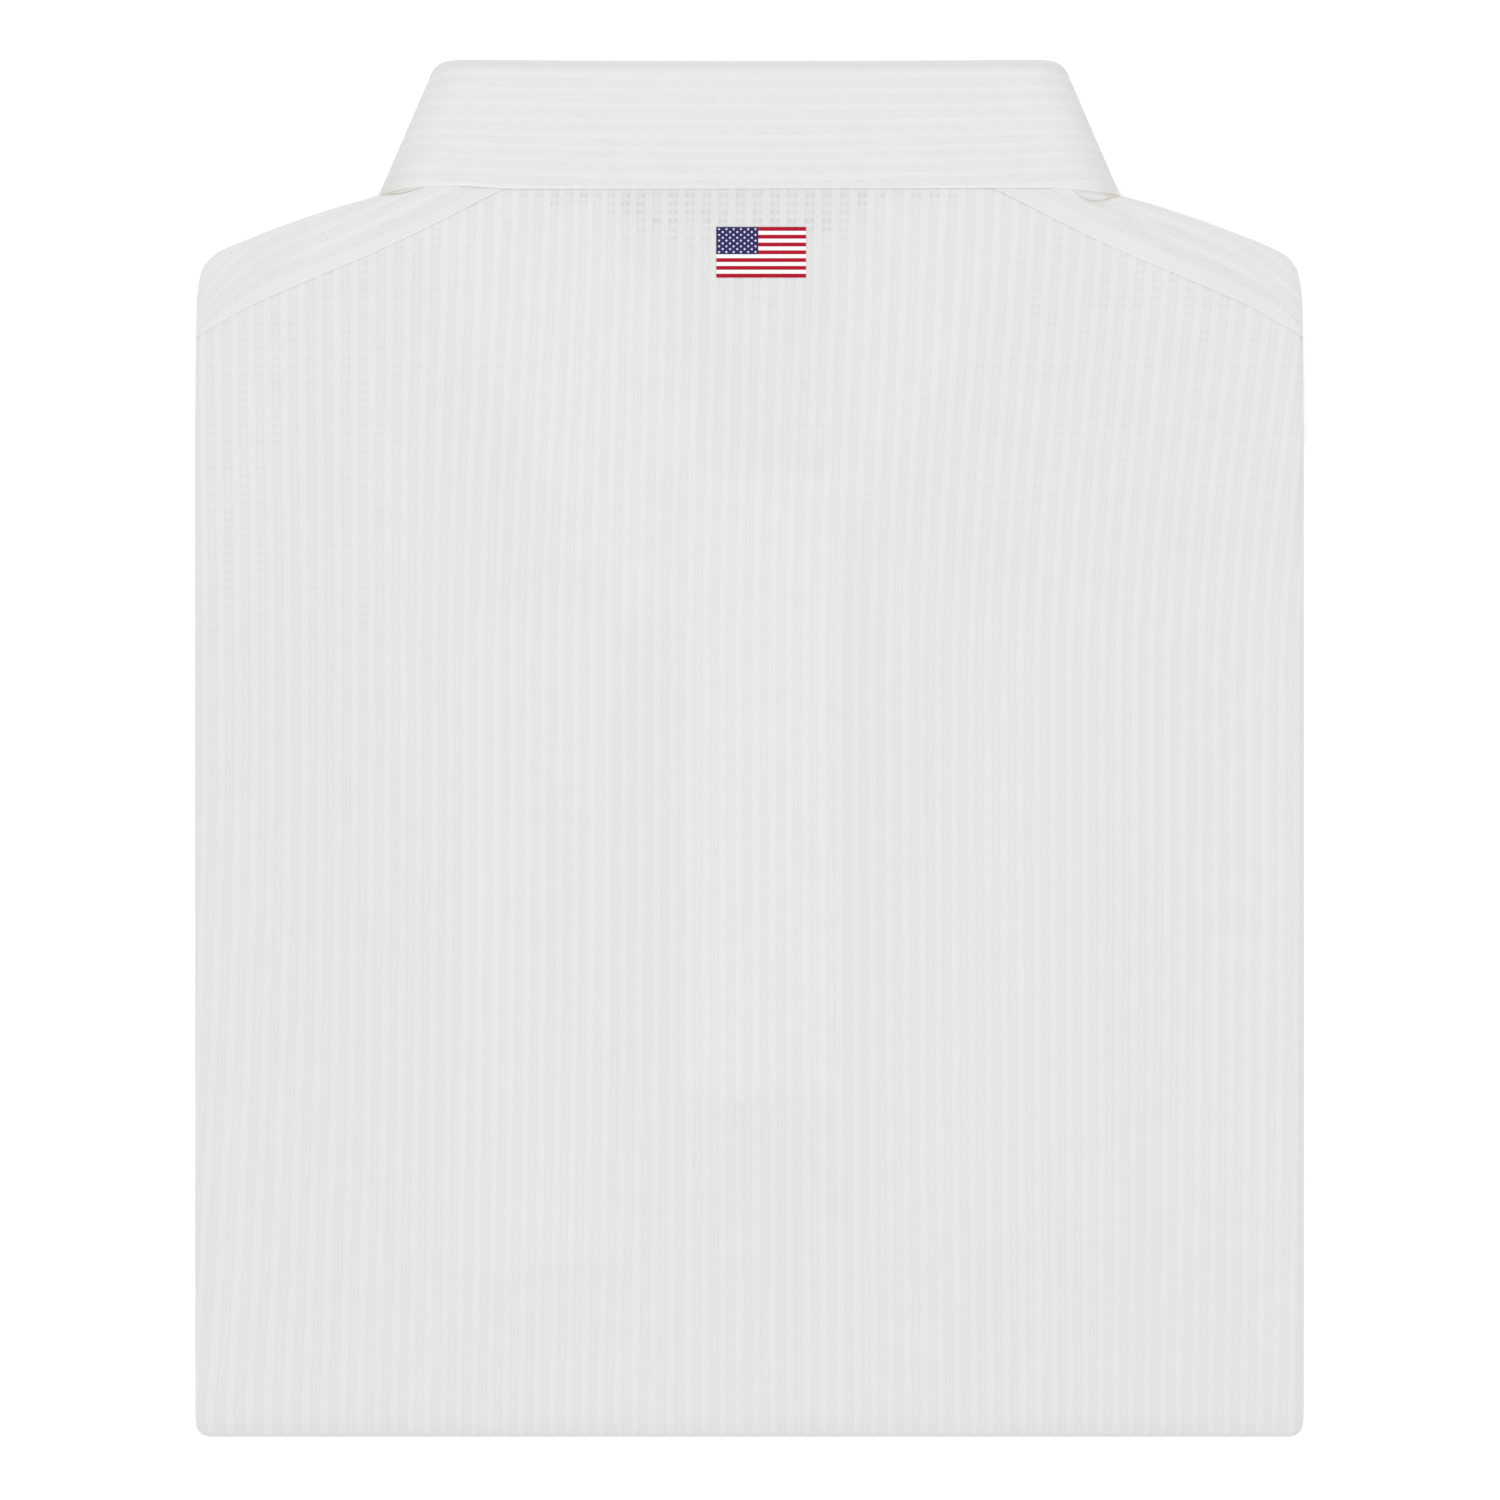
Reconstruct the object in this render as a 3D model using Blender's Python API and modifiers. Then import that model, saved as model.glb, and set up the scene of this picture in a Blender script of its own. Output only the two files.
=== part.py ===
"""Folded polo shirt, lying back upward: the sides are turned under, and the tail is folded up behind.

Sizes are in millimetres. X runs across the shirt, Y runs from the bottom fold toward the collar, and
Z is up from the surface that it rests on. Each piece of cloth is an open surface worked out from a
few named sizes, and Solidify gives it its thickness.
"""
import math

import bmesh
import bpy

MM = 0.001

# Whole folded shirt
BODY_HALF = 175.3
BOTTOM_Y = -217.5
FOLD_HEIGHT = 18.0
CLOTH = 1.2
LAYER_GAP = 0.5
SEAM_SHIFT = 0.4
JOIN_DISTANCE = 0.001

# The stack is two folds high, with a parting line at mid height, and the tail turns round an axis there
MID_Z = FOLD_HEIGHT / 2
PARTING = 0.2
UPPER_LEG_Z = MID_Z + PARTING
FOLD_AXIS_Y = BOTTOM_Y + MID_Z
HEM_Y = 95.0
NECK_TOP_Z = 12.9
NECK_UNDER_Z = 1.9
TOP_DROOP = (85.0, 155.0)
UNDER_DROOP = (97.0, 162.0)

# Side folds
FOLD_STEPS = 8
LEG_STEPS = 2
LEG_HIDDEN_X = 164.6
LEG_SHOWN_X = 122.0

# Neck seam
NECK_HALF = 98.0
NECK_BACK_Y = 184.0
NECK_SIDE_Y = 181.5
NECK_FRONT_Y = 130.0

# Seam between back and yoke: x, y
YOKE_SEAM = (
    (65.5, 182.9),
    (77.3, 176.9),
    (101.0, 164.2),
    (142.0, 148.2),
    (175.3, 132.5),
)
UNDER_SEAM_SLOPE = 0.47

# Each section of a yoke: where it starts on the seam, and the shoulder's outline there
YOKE_SECTIONS = (
    # seam_x, outline_x, outline_y
    (65.5, 98.0, 181.5),
    (73.0, 107.0, 178.5),
    (82.0, 116.0, 175.5),
    (96.0, 129.0, 171.9),
    (110.0, 143.0, 167.3),
    (123.0, 156.0, 162.4),
    (134.0, 165.0, 158.7),
    (142.0, 169.8, 156.1),
    (149.0, 172.7, 152.7),
    (156.0, 174.3, 148.3),
    (162.5, 175.1, 142.0),
    (None, BODY_HALF, 132.5),
)
YOKE_COLUMNS = 4
LIP_STEPS = 3
LIP_START = (79.0, 166.0)
LIP_END_X = 160.0

# Rows of the back panel
BACK_MIDDLE_COLUMNS = (0.0, 22.0, 44.0)
STRAIGHT_Y = 60.0
WARPED_ROWS = (
    # share of the way from the neck and yoke seams down to STRAIGHT_Y, inner end of the turned-in leg
    (0.0, LEG_SHOWN_X),
    (0.1, LEG_SHOWN_X),
    (0.2, LEG_SHOWN_X),
    (0.32, LEG_SHOWN_X),
    (0.45, LEG_SHOWN_X),
    (0.57, 140.0),
    (0.7, LEG_HIDDEN_X),
    (0.85, LEG_HIDDEN_X),
    (1.0, LEG_HIDDEN_X),
)
BACK_ROWS_Y = (20.0, -30.0, -90.0, -150.0, -190.0, FOLD_AXIS_Y)
BEND_STEPS = 8
TAIL_ROWS_Y = (-150.0, -60.0, 20.0, 70.0, HEM_Y)

# Collar leaf and stand
LEAF_THICK = 1.5
LEAF_HEIGHT = 14.8
LEAF_EDGE_HALF = 117.4
LEAF_ROLL_HALF = 101.3
LEAF_TOP_Y = 217.7
LEAF_TOP_DIP = 0.5
LEAF_CORNER_DROP = 3.8
LEAF_CORNER_POWER = 40
LEAF_EDGE_Y = 177.4
LEAF_EDGE_DROP = 0.9
LEAF_FRONT_Y = 159.0
LEAF_POINT = (46.0, 103.0)
LEAF_OPENING = 4.0
ROLL_RADIUS = 1.7
ROLL_STEPS = 6
ROLL_END = 1.0
LEAF_ROWS = 3
STAND_TOP_HALF = LEAF_ROLL_HALF - LEAF_THICK - SEAM_SHIFT
STAND_OPENING = 0.3
STAND_ROWS = 2
RING_BACK_STEPS = 7
RING_FRONT_STEPS = 6

# Underside pieces
FRONT_TUCK_Y = 83.0
FRONT_TUCK_X = 134.0
FRONT_TOP_X = 165.0
FRONT_COLUMNS = 7
FRONT_ROWS = 12
FRONT_OVERLAP = 7.0
PLACKET_HALF = 15.0
PLACKET_RISE = 0.1
PLACKET_TOP_Y = 129.6
PLACKET_ROWS = 7
SLEEVE_OUTER_X = 121.6
SLEEVE_INNER_X = 60.0
SLEEVE_TOP_Y = 107.0
SLEEVE_TOP_FALL = 7.0
SLEEVE_COLUMNS = 4
SLEEVE_ROWS = 4

# Buttons
BUTTON_RADIUS = 5.5
BUTTON_THICK = 1.8
BUTTON_RIM = 0.5
BUTTON_GAP = 0.35
BUTTON_DISH_RADIUS = 3.2
BUTTON_DISH_DEPTH = 0.45
BUTTON_STEPS = 24
STAND_BUTTON_Y = 144.0
PLACKET_BUTTON_Y = 112.0

# Layers inside
CORE_HALF = 173.3
CORE_STEPS = 6
UPPER_CORE = (
    # y, bottom above the leg line, top below the back's face, half width
    (FOLD_AXIS_Y, 1.7, 1.6, CORE_HALF),
    (-100.0, 1.7, 1.6, CORE_HALF),
    (75.0, 1.7, 1.6, CORE_HALF),
    (78.0, 3.6, 1.9, 172.6),
    (97.0, 3.6, 1.9, 172.6),
    (106.0, 3.6, 1.9, 172.6),
    (115.0, 3.6, 1.9, 172.0),
    (124.0, 3.6, 1.9, 170.0),
    (133.0, 3.6, 1.9, 166.0),
    (141.0, 3.6, 1.9, 160.0),
    (141.3, 3.6, 4.0, 159.0),
    (147.0, 3.6, 4.2, 150.0),
    (147.3, 3.6, 6.0, 149.0),
    (153.0, 3.6, 6.2, 138.0),
)
LOWER_CORE = (
    # y, bottom, top, half width
    (FOLD_AXIS_Y, 1.6, 7.1, CORE_HALF),
    (-60.0, 1.6, 7.1, CORE_HALF),
    (86.0, 1.6, 7.1, CORE_HALF),
    (86.2, 1.6, 5.2, 170.0),
    (89.0, 1.6, 5.2, 170.0),
    (89.2, 1.6, 3.4, 167.0),
    (92.0, 1.6, 3.4, 167.0),
)
MIDDLE_CORE = (
    # y, bottom, top, half width
    (FOLD_AXIS_Y - 5.0, 7.0, 11.0, 161.0),
    (FOLD_AXIS_Y - 2.0, 5.5, 12.5, 163.0),
    (FOLD_AXIS_Y + 4.0, 5.5, 12.5, 163.0),
    (66.0, 6.5, 11.5, 163.0),
)

# Colours, as linear base colour
CLOTH_WHITE = (0.80, 0.80, 0.79, 1.0)
YOKE_WHITE = (0.79, 0.79, 0.77, 1.0)
COLLAR_WHITE = (0.82, 0.81, 0.79, 1.0)
LAYER_WHITE = (0.76, 0.76, 0.75, 1.0)
BUTTON_WHITE = (0.86, 0.85, 0.81, 1.0)
CLOTH_ROUGHNESS = 0.9
BUTTON_ROUGHNESS = 0.35


def lerp(start, end, share):
    """Value that is this share of the way from start to end."""
    return start + (end - start) * share


def ease(value, start, end):
    """Smooth step from 0 at start to 1 at end."""
    share = min(max((value - start) / (end - start), 0.0), 1.0)
    return share * share * (3.0 - 2.0 * share)


def curve_height(points, x):
    """Height at x of a smooth curve through points, each slope taken from its neighbours."""
    last = len(points) - 1
    index = max(i for i in range(last) if i == 0 or points[i][0] <= x)
    slopes = []
    for i in (index, index + 1):
        before, after = points[max(i - 1, 0)], points[min(i + 1, last)]
        slopes.append((after[1] - before[1]) / (after[0] - before[0]))
    (x0, y0), (x1, y1) = points[index], points[index + 1]
    width = x1 - x0
    t = (x - x0) / width
    start = (2 * t**3 - 3 * t**2 + 1) * y0 + (t**3 - 2 * t**2 + t) * width * slopes[0]
    return start + (3 * t**2 - 2 * t**3) * y1 + (t**3 - t**2) * width * slopes[1]


def top_height(y):
    """Height of the back's outer face, which droops toward the neck."""
    return lerp(FOLD_HEIGHT, NECK_TOP_Z, ease(y, *TOP_DROOP))


def under_height(y):
    """Height of the upper fold's underside, which drops past the hem of the tail."""
    return lerp(UPPER_LEG_Z, NECK_UNDER_Z, ease(y, *UNDER_DROOP))


def side_half(y):
    """Half the height of the upper side fold, which is also how far it rounds in."""
    return (top_height(y) - under_height(y)) / 2


def upper_z(y, share):
    """Height of a point of the upper fold: share is 0 on its underside and 1 on its top."""
    return lerp(under_height(y), top_height(y), share)


def neck_y(x, under):
    """Neck seam: nearly straight across the back, a deep curve in front."""
    across = min(abs(x) / NECK_HALF, 1.0)
    if under:
        return NECK_SIDE_Y - (NECK_SIDE_Y - NECK_FRONT_Y) * math.cos(across * math.pi / 2)
    return lerp(NECK_BACK_Y, NECK_SIDE_Y, across**2)


def seam_y(x, under):
    """Seam between back and yoke, followed round the side fold to the underside."""
    x = abs(x)
    if under:
        return YOKE_SEAM[-1][1] - UNDER_SEAM_SLOPE * (BODY_HALF - x)
    return curve_height(YOKE_SEAM, x)


def back_edge_y(x, under):
    """Upper edge of the back panel: the neck seam, then the yoke seam."""
    if not under and abs(x) < YOKE_SEAM[0][0]:
        return neck_y(x, False)
    return seam_y(x, under)


SEAM_END_HALF = side_half(YOKE_SEAM[-1][1])
SEAM_RIM_X = BODY_HALF - SEAM_END_HALF
SEAM_COLUMNS = tuple(row[0] for row in YOKE_SECTIONS[:-1]) + (SEAM_RIM_X,)
BACK_COLUMNS = BACK_MIDDLE_COLUMNS + SEAM_COLUMNS


def round_steps(steps):
    """The rounding of a side fold between its top and underside: how far out, and share of height."""
    for step in range(1, steps):
        angle = math.pi * (0.5 - step / steps)
        yield math.cos(angle), (1 + math.sin(angle)) / 2, angle < 0


def back_section(half, leg_end):
    """Section of the back from left leg to right leg, as (x, share of height, on the underside)."""
    rim = BODY_HALF - half
    points = [(x * rim / SEAM_RIM_X, 1.0, False) for x in BACK_COLUMNS]
    for out, share, under in round_steps(FOLD_STEPS):
        points.append((rim + half * out, share, under))
    for step in range(LEG_STEPS + 1):
        points.append((lerp(rim, leg_end, step / LEG_STEPS), 0.0, True))
    left = [(-x, share, under) for x, share, under in reversed(points[1:])]
    return left + points


def back_rows():
    """Rows of the back: from its upper edge down, round the bottom fold, and up to the hem."""
    rows = []
    for share, leg_end in WARPED_ROWS:
        half = side_half(lerp(YOKE_SEAM[-1][1], STRAIGHT_Y, share))
        row = []
        for x, height, under in back_section(half, leg_end):
            y = lerp(back_edge_y(x, under), STRAIGHT_Y, share)
            row.append((x, y, upper_z(y, height)))
        rows.append(row)
    section = back_section(side_half(FOLD_AXIS_Y), LEG_HIDDEN_X)
    for y in BACK_ROWS_Y:
        rows.append([(x, y, upper_z(y, height)) for x, height, _ in section])
    for step in range(1, BEND_STEPS + 1):
        angle = math.pi * step / BEND_STEPS
        row = []
        for x, height, _ in section:
            radius = lerp(PARTING, MID_Z, height)
            row.append((x, FOLD_AXIS_Y - radius * math.sin(angle), MID_Z + radius * math.cos(angle)))
        rows.append(row)
    for y in TAIL_ROWS_Y:
        rows.append([(x, y, MID_Z - lerp(PARTING, MID_Z, height)) for x, height, _ in section])
    return rows


def inward_normal(index):
    """Direction in plan from the shoulder's outline toward the body, level at the neck."""
    if index == 0:
        return (-1.0, 0.0)
    before = YOKE_SECTIONS[index - 1]
    after = YOKE_SECTIONS[min(index + 1, len(YOKE_SECTIONS) - 1)]
    along = (after[1] - before[1], after[2] - before[2])
    if index == len(YOKE_SECTIONS) - 1:
        along = (0.0, -1.0)
    length = math.hypot(*along)
    return (along[1] / length, -along[0] / length)


def yoke_section(index):
    """One section of the right yoke: from the seam, over the shoulder's fold, to the lip below."""
    seam_x, outline_x, outline_y = YOKE_SECTIONS[index]
    last = index == len(YOKE_SECTIONS) - 1
    half = side_half(outline_y)
    normal = inward_normal(index)
    rim = (outline_x + normal[0] * half, outline_y + normal[1] * half)
    start_x = SEAM_RIM_X if last else seam_x
    if index == 0:
        start_x += 2 * SEAM_SHIFT
    points = []
    for column in range(YOKE_COLUMNS + 1):
        share = column / YOKE_COLUMNS
        x = lerp(start_x, rim[0], share)
        y = lerp(seam_y(start_x, False) + SEAM_SHIFT, rim[1], share)
        if index == 0:
            y = neck_y(x, False)
        if last:
            y = seam_y(x, False) + SEAM_SHIFT
        points.append((x, y, top_height(y)))
    for out, share, under in round_steps(FOLD_STEPS):
        x = outline_x + normal[0] * half * (1 - out)
        y = outline_y + normal[1] * half * (1 - out)
        if index == 0:
            y = neck_y(x, under)
        if last:
            y = seam_y(x, under) + SEAM_SHIFT
        points.append((x, y, upper_z(y, share)))
    lip_end_y = seam_y(LIP_END_X, True) + SEAM_SHIFT
    along = index / (len(YOKE_SECTIONS) - 1)
    lip_end = (lerp(LIP_START[0], LIP_END_X, along), lerp(LIP_START[1], lip_end_y, along))
    for step in range(LIP_STEPS + 1):
        share = step / LIP_STEPS
        x = lerp(rim[0], lip_end[0], share)
        y = lerp(rim[1], lip_end[1], share)
        if index == 0:
            y = neck_y(x, True)
        if last:
            y = seam_y(x, True) + SEAM_SHIFT
        points.append((x, y, under_height(y)))
    return points


def roll_back_y(x):
    """Top of the collar leaf across the back: a slight dip in the middle and rounded ends."""
    across = abs(x) / LEAF_ROLL_HALF
    dip = LEAF_TOP_DIP * (1 - min(across, 1.0) ** 2)
    return LEAF_TOP_Y - dip - LEAF_CORNER_DROP * min(across, 1.0) ** LEAF_CORNER_POWER


def roll_front_y(x):
    """Top of the collar leaf in front, which runs down to the opening."""
    side = LEAF_TOP_Y - LEAF_CORNER_DROP
    across = min(abs(x) / LEAF_ROLL_HALF, 1.0)
    return side - (side - LEAF_FRONT_Y) * math.cos(across * math.pi / 2)


def ring_stations():
    """Stations round the collar from left front to right front: (side, part, share or angle)."""
    right = [("back", step / RING_BACK_STEPS) for step in range(RING_BACK_STEPS + 1)]
    for step in range(1, FOLD_STEPS):
        right.append(("side", math.pi * (0.5 - step / FOLD_STEPS)))
    right += [("front", step / RING_FRONT_STEPS) for step in range(RING_FRONT_STEPS + 1)]
    left = [(-1, part, share) for part, share in reversed(right[1:])]
    return left + [(1, part, share) for part, share in right]


def ring_place(part, share, half_width, low, high, opening):
    """Distance out, height and whether it is in front, of a station of a flattened ring."""
    half_height = (high - low) / 2
    rim = half_width - half_height
    if part == "back":
        return rim * share, high, False
    if part == "front":
        return lerp(rim, opening, share), low, True
    return rim + half_height * math.cos(share), low + half_height * (1 + math.sin(share)), share < 0


def leaf_edge(part, share, x):
    """Outer edge of the leaf at a station: (distance out, y)."""
    side_y = LEAF_EDGE_Y - LEAF_EDGE_DROP
    if part == "back":
        return x, LEAF_EDGE_Y - LEAF_EDGE_DROP * (x / LEAF_EDGE_HALF) ** 4
    if part == "front":
        rim = LEAF_EDGE_HALF - LEAF_HEIGHT / 2
        return lerp(rim, LEAF_POINT[0], share), lerp(side_y, LEAF_POINT[1], share)
    return x, side_y


def leaf_row(fall, turn):
    """Row of the leaf: fall is 0 at its lower edge and 1 at the roll, turn is the angle over the roll."""
    inset = ROLL_RADIUS * (1 - math.cos(turn))
    rise = ROLL_RADIUS * (math.sin(turn) - 1)
    row = []
    for side, part, share in ring_stations():
        edge_x, _, _ = ring_place(part, share, LEAF_EDGE_HALF, 0.0, LEAF_HEIGHT, LEAF_POINT[0])
        edge_x, edge_y = leaf_edge(part, share, edge_x)
        outer_x, _, front = ring_place(part, share, LEAF_ROLL_HALF, 0.0, LEAF_HEIGHT, LEAF_OPENING)
        roll_y = (roll_front_y(outer_x) if front else roll_back_y(outer_x)) + rise
        roll_x, z, _ = ring_place(
            part, share, LEAF_ROLL_HALF - inset, inset, LEAF_HEIGHT - inset, LEAF_OPENING
        )
        row.append((side * lerp(edge_x, roll_x, fall), lerp(edge_y, roll_y, fall), z))
    return row


def leaf_rows():
    """Rows of the collar leaf: up its fall, over the roll, and a short way down inside."""
    rows = [leaf_row(row / LEAF_ROWS, 0.0) for row in range(LEAF_ROWS + 1)]
    for step in range(1, ROLL_STEPS + 1):
        rows.append(leaf_row(1.0, math.pi * step / ROLL_STEPS))
    rows.append([(x, y - ROLL_END, z) for x, y, z in rows[-1]])
    return rows


def stand_rows():
    """Rows of the collar stand, from the neck seam up to the leaf's turned-in end."""
    end_drop = ROLL_RADIUS + ROLL_END + 2 * SEAM_SHIFT
    rows = []
    for row in range(STAND_ROWS + 1):
        share = row / STAND_ROWS
        half_width = lerp(NECK_HALF, STAND_TOP_HALF, share)
        points = []
        for side, part, place in ring_stations():
            x, z, front = ring_place(part, place, half_width, NECK_UNDER_Z, NECK_TOP_Z, STAND_OPENING)
            low = neck_y(x, front) + SEAM_SHIFT
            over = x
            if part == "side":
                over, _, _ = ring_place(part, place, LEAF_ROLL_HALF, 0.0, LEAF_HEIGHT, STAND_OPENING)
            high = (roll_front_y(over) if front else roll_back_y(over)) - end_drop
            y = lerp(low, high, share)
            if part == "front":
                z = under_height(y)
            points.append((side * x, y, z))
        rows.append(points)
    return rows


def front_top_y(x):
    """Upper edge of the front panel: the neck seam, then a tuck behind the yoke's lip."""
    if abs(x) < LIP_START[0] + FRONT_OVERLAP / 2:
        return neck_y(x, True) - SEAM_SHIFT
    slope = (seam_y(LIP_END_X, True) - LIP_START[1]) / (LIP_END_X - LIP_START[0])
    return LIP_START[1] + FRONT_OVERLAP + slope * (abs(x) - LIP_START[0])


def front_rows():
    """Rows of the front panel, seen on the underside from its tuck up to the neck."""
    level = CLOTH + LAYER_GAP
    rows = []
    for row in range(FRONT_ROWS + 1):
        share = row / FRONT_ROWS
        points = []
        for column in range(-FRONT_COLUMNS, FRONT_COLUMNS + 1):
            across = column / FRONT_COLUMNS
            top_x = FRONT_TOP_X * across
            x = lerp(FRONT_TUCK_X * across, top_x, share)
            y = lerp(FRONT_TUCK_Y, front_top_y(top_x), share)
            points.append((x, y, under_height(y) + level))
        rows.append(points)
    return rows


def placket_rows():
    """Rows of the placket, a strip under the front panel."""
    rows = []
    for row in range(PLACKET_ROWS + 1):
        y = lerp(FRONT_TUCK_Y, PLACKET_TOP_Y, row / PLACKET_ROWS)
        rows.append([(x, y, under_height(y) + PLACKET_RISE) for x in (-PLACKET_HALF, 0.0, PLACKET_HALF)])
    return rows


def sleeve_rows():
    """Rows of the right sleeve, seen between the turned-in side and the front's middle."""
    rows = []
    for row in range(SLEEVE_ROWS + 1):
        share = row / SLEEVE_ROWS
        points = []
        for column in range(SLEEVE_COLUMNS + 1):
            along = column / SLEEVE_COLUMNS
            x = lerp(SLEEVE_INNER_X, SLEEVE_OUTER_X, along)
            y = lerp(FRONT_TUCK_Y, SLEEVE_TOP_Y - SLEEVE_TOP_FALL * (1 - along), share)
            points.append((x, y, under_height(y)))
        rows.append(points)
    return rows


def mirrored(rows):
    """The same rows on the left, reversed so that the same face stays outward."""
    return [[(-x, y, z) for x, y, z in row] for row in reversed(rows)]


def new_material(name, colour, roughness):
    """Plain material of one sub-part."""
    material = bpy.data.materials.new(name)
    material.use_nodes = True
    shader = material.node_tree.nodes["Principled BSDF"]
    shader.inputs["Base Color"].default_value = colour
    shader.inputs["Roughness"].default_value = roughness
    return material


def add_object(name, mesh, collection, material):
    """Object for a mesh, in its collection and with its material."""
    mesh.materials.append(material)
    made = bpy.data.objects.new(name, mesh)
    collection.objects.link(made)
    return made


def grid_mesh(name, rows):
    """Open surface through rows of points, with points that meet joined into one."""
    built = bmesh.new()
    grid = [[built.verts.new([value * MM for value in point]) for point in row] for row in rows]
    for near, far in zip(grid, grid[1:]):
        for i in range(len(near) - 1):
            built.faces.new((near[i], far[i], far[i + 1], near[i + 1]))
    bmesh.ops.remove_doubles(built, verts=built.verts, dist=JOIN_DISTANCE * MM)
    mesh = bpy.data.meshes.new(name)
    built.to_mesh(mesh)
    built.free()
    return mesh


def cloth_piece(name, rows, thickness, collection, material):
    """Wall of cloth whose outer face runs through the rows."""
    made = add_object(name, grid_mesh(name, rows), collection, material)
    wall = made.modifiers.new("cloth", "SOLIDIFY")
    wall.thickness = thickness * MM
    wall.offset = -1.0
    wall.use_even_offset = True
    wall.use_quality_normals = True
    return made


def core_section(y, low, high, half_width):
    """Closed section of a folded heap, rounded at both sides."""
    half_height = (high - low) / 2
    rim = half_width - half_height
    middle = (low + high) / 2
    points = []
    for side in (1, -1):
        for step in range(CORE_STEPS + 1):
            angle = side * math.pi * (0.5 - step / CORE_STEPS)
            x = side * (rim + half_height * math.cos(angle))
            points.append((x, y, middle + half_height * math.sin(angle)))
    return points


def closed_loft(name, sections):
    """Closed body through sections of equal numbers of points, capped at both ends."""
    built = bmesh.new()
    rings = [[built.verts.new([value * MM for value in point]) for point in ring] for ring in sections]
    for near, far in zip(rings, rings[1:]):
        for i in range(len(near)):
            j = (i + 1) % len(near)
            built.faces.new((near[i], near[j], far[j], far[i]))
    built.faces.new(rings[0])
    built.faces.new(rings[-1])
    bmesh.ops.recalc_face_normals(built, faces=built.faces)
    mesh = bpy.data.meshes.new(name)
    built.to_mesh(mesh)
    built.free()
    return mesh


def inner_layers(collection, cutters, material):
    """The hidden folded layers as one rounded body, stepped where their edges end."""
    upper = []
    for y, above_leg, below_top, half_width in UPPER_CORE:
        low = under_height(y) + above_leg
        upper.append(core_section(y, low, top_height(y) - below_top, half_width))
    lower = [core_section(*row) for row in LOWER_CORE]
    middle = [core_section(*row) for row in MIDDLE_CORE]
    made = add_object("inner_layers", closed_loft("inner_layers", upper), collection, material)
    for name, sections in (("layers_below", lower), ("layers_between", middle)):
        other = add_object(name, closed_loft(name, sections), cutters, material)
        other.hide_render = True
        other.display_type = "WIRE"
        join = made.modifiers.new(name, "BOOLEAN")
        join.operation = "UNION"
        join.solver = "EXACT"
        join.object = other
    return made


def button(name, y, collection, material):
    """Round dished button turned about its axis, lying under the cloth at y and tilted with it."""
    face = under_height(y) - BUTTON_GAP
    tilt = math.atan2(under_height(y + 1) - under_height(y - 1), 2.0)
    profile = (
        (0.0, 0.0),
        (BUTTON_RADIUS - BUTTON_RIM, 0.0),
        (BUTTON_RADIUS, -BUTTON_RIM),
        (BUTTON_RADIUS, BUTTON_RIM - BUTTON_THICK),
        (BUTTON_RADIUS - BUTTON_RIM, -BUTTON_THICK),
        (BUTTON_DISH_RADIUS + BUTTON_DISH_DEPTH, -BUTTON_THICK),
        (BUTTON_DISH_RADIUS, BUTTON_DISH_DEPTH - BUTTON_THICK),
        (0.0, BUTTON_DISH_DEPTH - BUTTON_THICK),
    )
    mesh = bpy.data.meshes.new(name)
    points = [(radius * MM, 0.0, height * MM) for radius, height in profile]
    mesh.from_pydata(points, [(i, i + 1) for i in range(len(points) - 1)], [])
    made = add_object(name, mesh, collection, material)
    made.location = (0.0, y * MM, face * MM)
    made.rotation_euler = (tilt, 0.0, 0.0)
    lathe = made.modifiers.new("turned", "SCREW")
    lathe.axis = "Z"
    lathe.steps = BUTTON_STEPS
    lathe.render_steps = BUTTON_STEPS
    lathe.use_merge_vertices = True
    lathe.merge_threshold = JOIN_DISTANCE * MM
    lathe.use_normal_calculate = True
    return made


def build():
    """Make every piece of the shirt."""
    for old in list(bpy.data.objects):
        bpy.data.objects.remove(old, do_unlink=True)
    parts = bpy.data.collections.new("folded_polo_shirt")
    cutters = bpy.data.collections.new("cutters")
    bpy.context.scene.collection.children.link(parts)
    bpy.context.scene.collection.children.link(cutters)

    yoke = [yoke_section(index) for index in range(len(YOKE_SECTIONS))]
    sleeve = sleeve_rows()
    pieces = (
        # node, rows of its outer face, thickness, colour
        ("back_panel", back_rows(), CLOTH, CLOTH_WHITE),
        ("yoke_right", yoke, CLOTH, YOKE_WHITE),
        ("yoke_left", mirrored(yoke), CLOTH, YOKE_WHITE),
        ("collar_leaf", leaf_rows()[::-1], LEAF_THICK, COLLAR_WHITE),
        ("collar_stand", stand_rows()[::-1], CLOTH, COLLAR_WHITE),
        ("front_panel", front_rows(), CLOTH, CLOTH_WHITE),
        ("placket", placket_rows(), CLOTH, COLLAR_WHITE),
        ("sleeve_right", sleeve, CLOTH, CLOTH_WHITE),
        ("sleeve_left", mirrored(sleeve), CLOTH, CLOTH_WHITE),
    )
    for name, rows, thickness, colour in pieces:
        material = new_material(name + "_cloth", colour, CLOTH_ROUGHNESS)
        cloth_piece(name, rows, thickness, parts, material)

    inner_layers(parts, cutters, new_material("layered_cloth", LAYER_WHITE, CLOTH_ROUGHNESS))
    upper_button = new_material("upper_button", BUTTON_WHITE, BUTTON_ROUGHNESS)
    button("button_stand", STAND_BUTTON_Y, parts, upper_button)
    lower_button = new_material("lower_button", BUTTON_WHITE, BUTTON_ROUGHNESS)
    button("button_placket", PLACKET_BUTTON_Y, parts, lower_button)


build()
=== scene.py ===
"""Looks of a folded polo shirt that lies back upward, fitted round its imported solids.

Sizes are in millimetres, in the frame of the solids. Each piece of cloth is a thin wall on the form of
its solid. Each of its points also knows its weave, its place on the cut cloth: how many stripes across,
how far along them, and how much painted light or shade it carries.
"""

import math

import bmesh
import bpy
from mathutils import Matrix, Vector


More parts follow.
